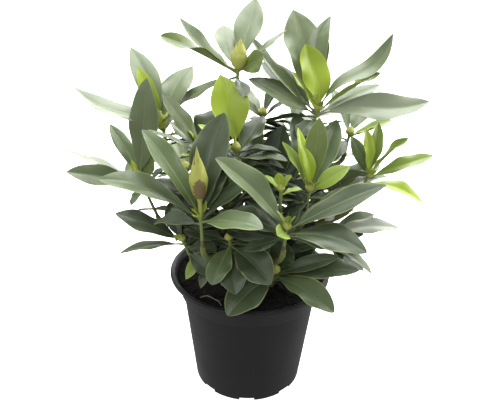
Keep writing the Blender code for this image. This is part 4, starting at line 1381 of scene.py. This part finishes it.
def stem_looks():
    """Green skin of this year's stems, and the brown ring where each one starts."""
    green = principled("stem_green", (0.20, 0.26, 0.07), 0.5, 0.45)
    add_bump(green, 700.0, 0.25, 0.0004)
    return [green, principled("stem_foot", (0.13, 0.12, 0.05), 0.6, 0.4)]


def bud_looks():
    """Yellow-green inner scales and brown outer ones."""
    inner = principled("bud_scale", (0.42, 0.44, 0.10), 0.5, 0.45)
    outer = principled("bud_husk", (0.20, 0.15, 0.06), 0.6, 0.4)
    add_bump(inner, 900.0, 0.25, 0.0004)
    add_bump(outer, 900.0, 0.3, 0.0004)
    return [inner, outer]


def leaf_tone(shoot, sizes, rng):
    """The tone a leaf takes: its own, or one for the height of its shoot. The higher leaves are lighter and
    greyer as painted top light, the lower ones darker as painted shade.
    """
    if sizes["tone"] != "grown":
        return sizes["tone"]
    for height, tones in GROWN_TONES:
        if shoot["at"][2] >= height:
            return rng.choice(tones)


def build_plant():
    """Every limb, stem, bud and leaf, joined by kind."""
    limbs, bodies = build_limbs()
    kept, placed = place_leaves(bodies)
    add_old_leaves(kept, placed)
    rng = random.Random(SEED)
    bark = Batch()
    for name, limb in limbs.items():
        fine_limb(bark, limb, name, rng)
    stems = Batch()
    buds = Batch()
    leaves = {tone: Batch() for tone in TONES}
    for name, shoot in SHOOTS.items():
        fine_stem(stems, shoot, rng)
        fine_bud(buds, shoot, rng)
        sprouts = [(leaf_foot(shoot, sizes), sizes) for sizes in SPROUTS.get(name, ())]
        for foot, sizes in kept[name] + sprouts:
            tone = leaf_tone(shoot, sizes, rng)
            fine_leaf(leaves[tone], foot, sizes, shoot_axis(shoot), rng)
    masses = [f"foliage_{name}" for name in SHOOTS]
    woods = ["trunk"] + [f"bough_{name}" for name in BOUGHS]
    finish_piece(bark.build("bark", bark_looks()), woods)
    finish_piece(stems.build("stems", stem_looks()), masses)
    finish_piece(buds.build("buds", bud_looks()), masses)
    for tone, batch in leaves.items():
        finish_piece(batch.build(f"leaves_{tone}", leaf_looks(tone)), masses)


def finish_piece(piece, nodes):
    """A piece rides on the plant's one body and stands for its nodes."""
    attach(piece, "root")
    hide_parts(*nodes)


def area_light(name, place, size, power):
    """A soft white rectangular light that looks at the plant."""
    data = bpy.data.lights.new(name, "AREA")
    data.shape = "RECTANGLE"
    data.size, data.size_y = size
    data.energy = power
    light = bpy.data.objects.new(name, data)
    light.location = place
    light.rotation_euler = (Vector(LIGHT_AIM) - Vector(place)).to_track_quat("-Z", "Y").to_euler()
    bpy.context.scene.collection.objects.link(light)


def build_stage():
    """A white floor, soft light from behind, both sides and above, and a pale surround."""
    bpy.ops.mesh.primitive_plane_add(size=FLOOR_SIZE)
    floor = bpy.context.object
    floor.name = "floor"
    white = principled("floor_white", (0.9, 0.9, 0.9), 0.9, 0.2)
    shader = shader_of(white)
    shader.inputs["Emission Color"].default_value = (1.0, 1.0, 1.0, 1.0)
    shader.inputs["Emission Strength"].default_value = 1.0
    floor.data.materials.append(white)
    floor.visible_diffuse = False
    floor.visible_glossy = False
    world = bpy.data.worlds.new("surround")
    world.use_nodes = True
    world.node_tree.nodes["Background"].inputs["Color"].default_value = (1.0, 1.0, 1.0, 1.0)
    world.node_tree.nodes["Background"].inputs["Strength"].default_value = SURROUND
    bpy.context.scene.world = world
    for name, (place, size, power) in LIGHTS.items():
        area_light(name, place, size, power)


def build_camera():
    """The camera that the photo was taken from."""
    data = bpy.data.cameras.new("camera")
    data.lens = CAMERA_LENS
    data.sensor_width = CAMERA_SENSOR
    data.shift_x = CAMERA_SHIFT
    camera = bpy.data.objects.new("camera", data)
    tilt = Matrix.Rotation(math.radians(90.0 - CAMERA_PITCH), 4, "X")
    roll = Matrix.Rotation(math.radians(CAMERA_ROLL), 4, "Z")
    camera.matrix_world = Matrix.Translation(Vector(CAMERA_PLACE) * MM) @ tilt @ roll
    bpy.context.scene.collection.objects.link(camera)
    bpy.context.scene.camera = camera


def main():
    for startup in [obj for obj in bpy.data.objects if obj.name in ("Cube", "Light", "Camera")]:
        bpy.data.objects.remove(startup)
    bpy.context.scene.view_settings.view_transform = "Standard"
    build_camera()
    build_stage()
    finish_piece(build_pot(), ["pot"])
    finish_piece(build_soil(), ["soil"])
    build_plant()


main()
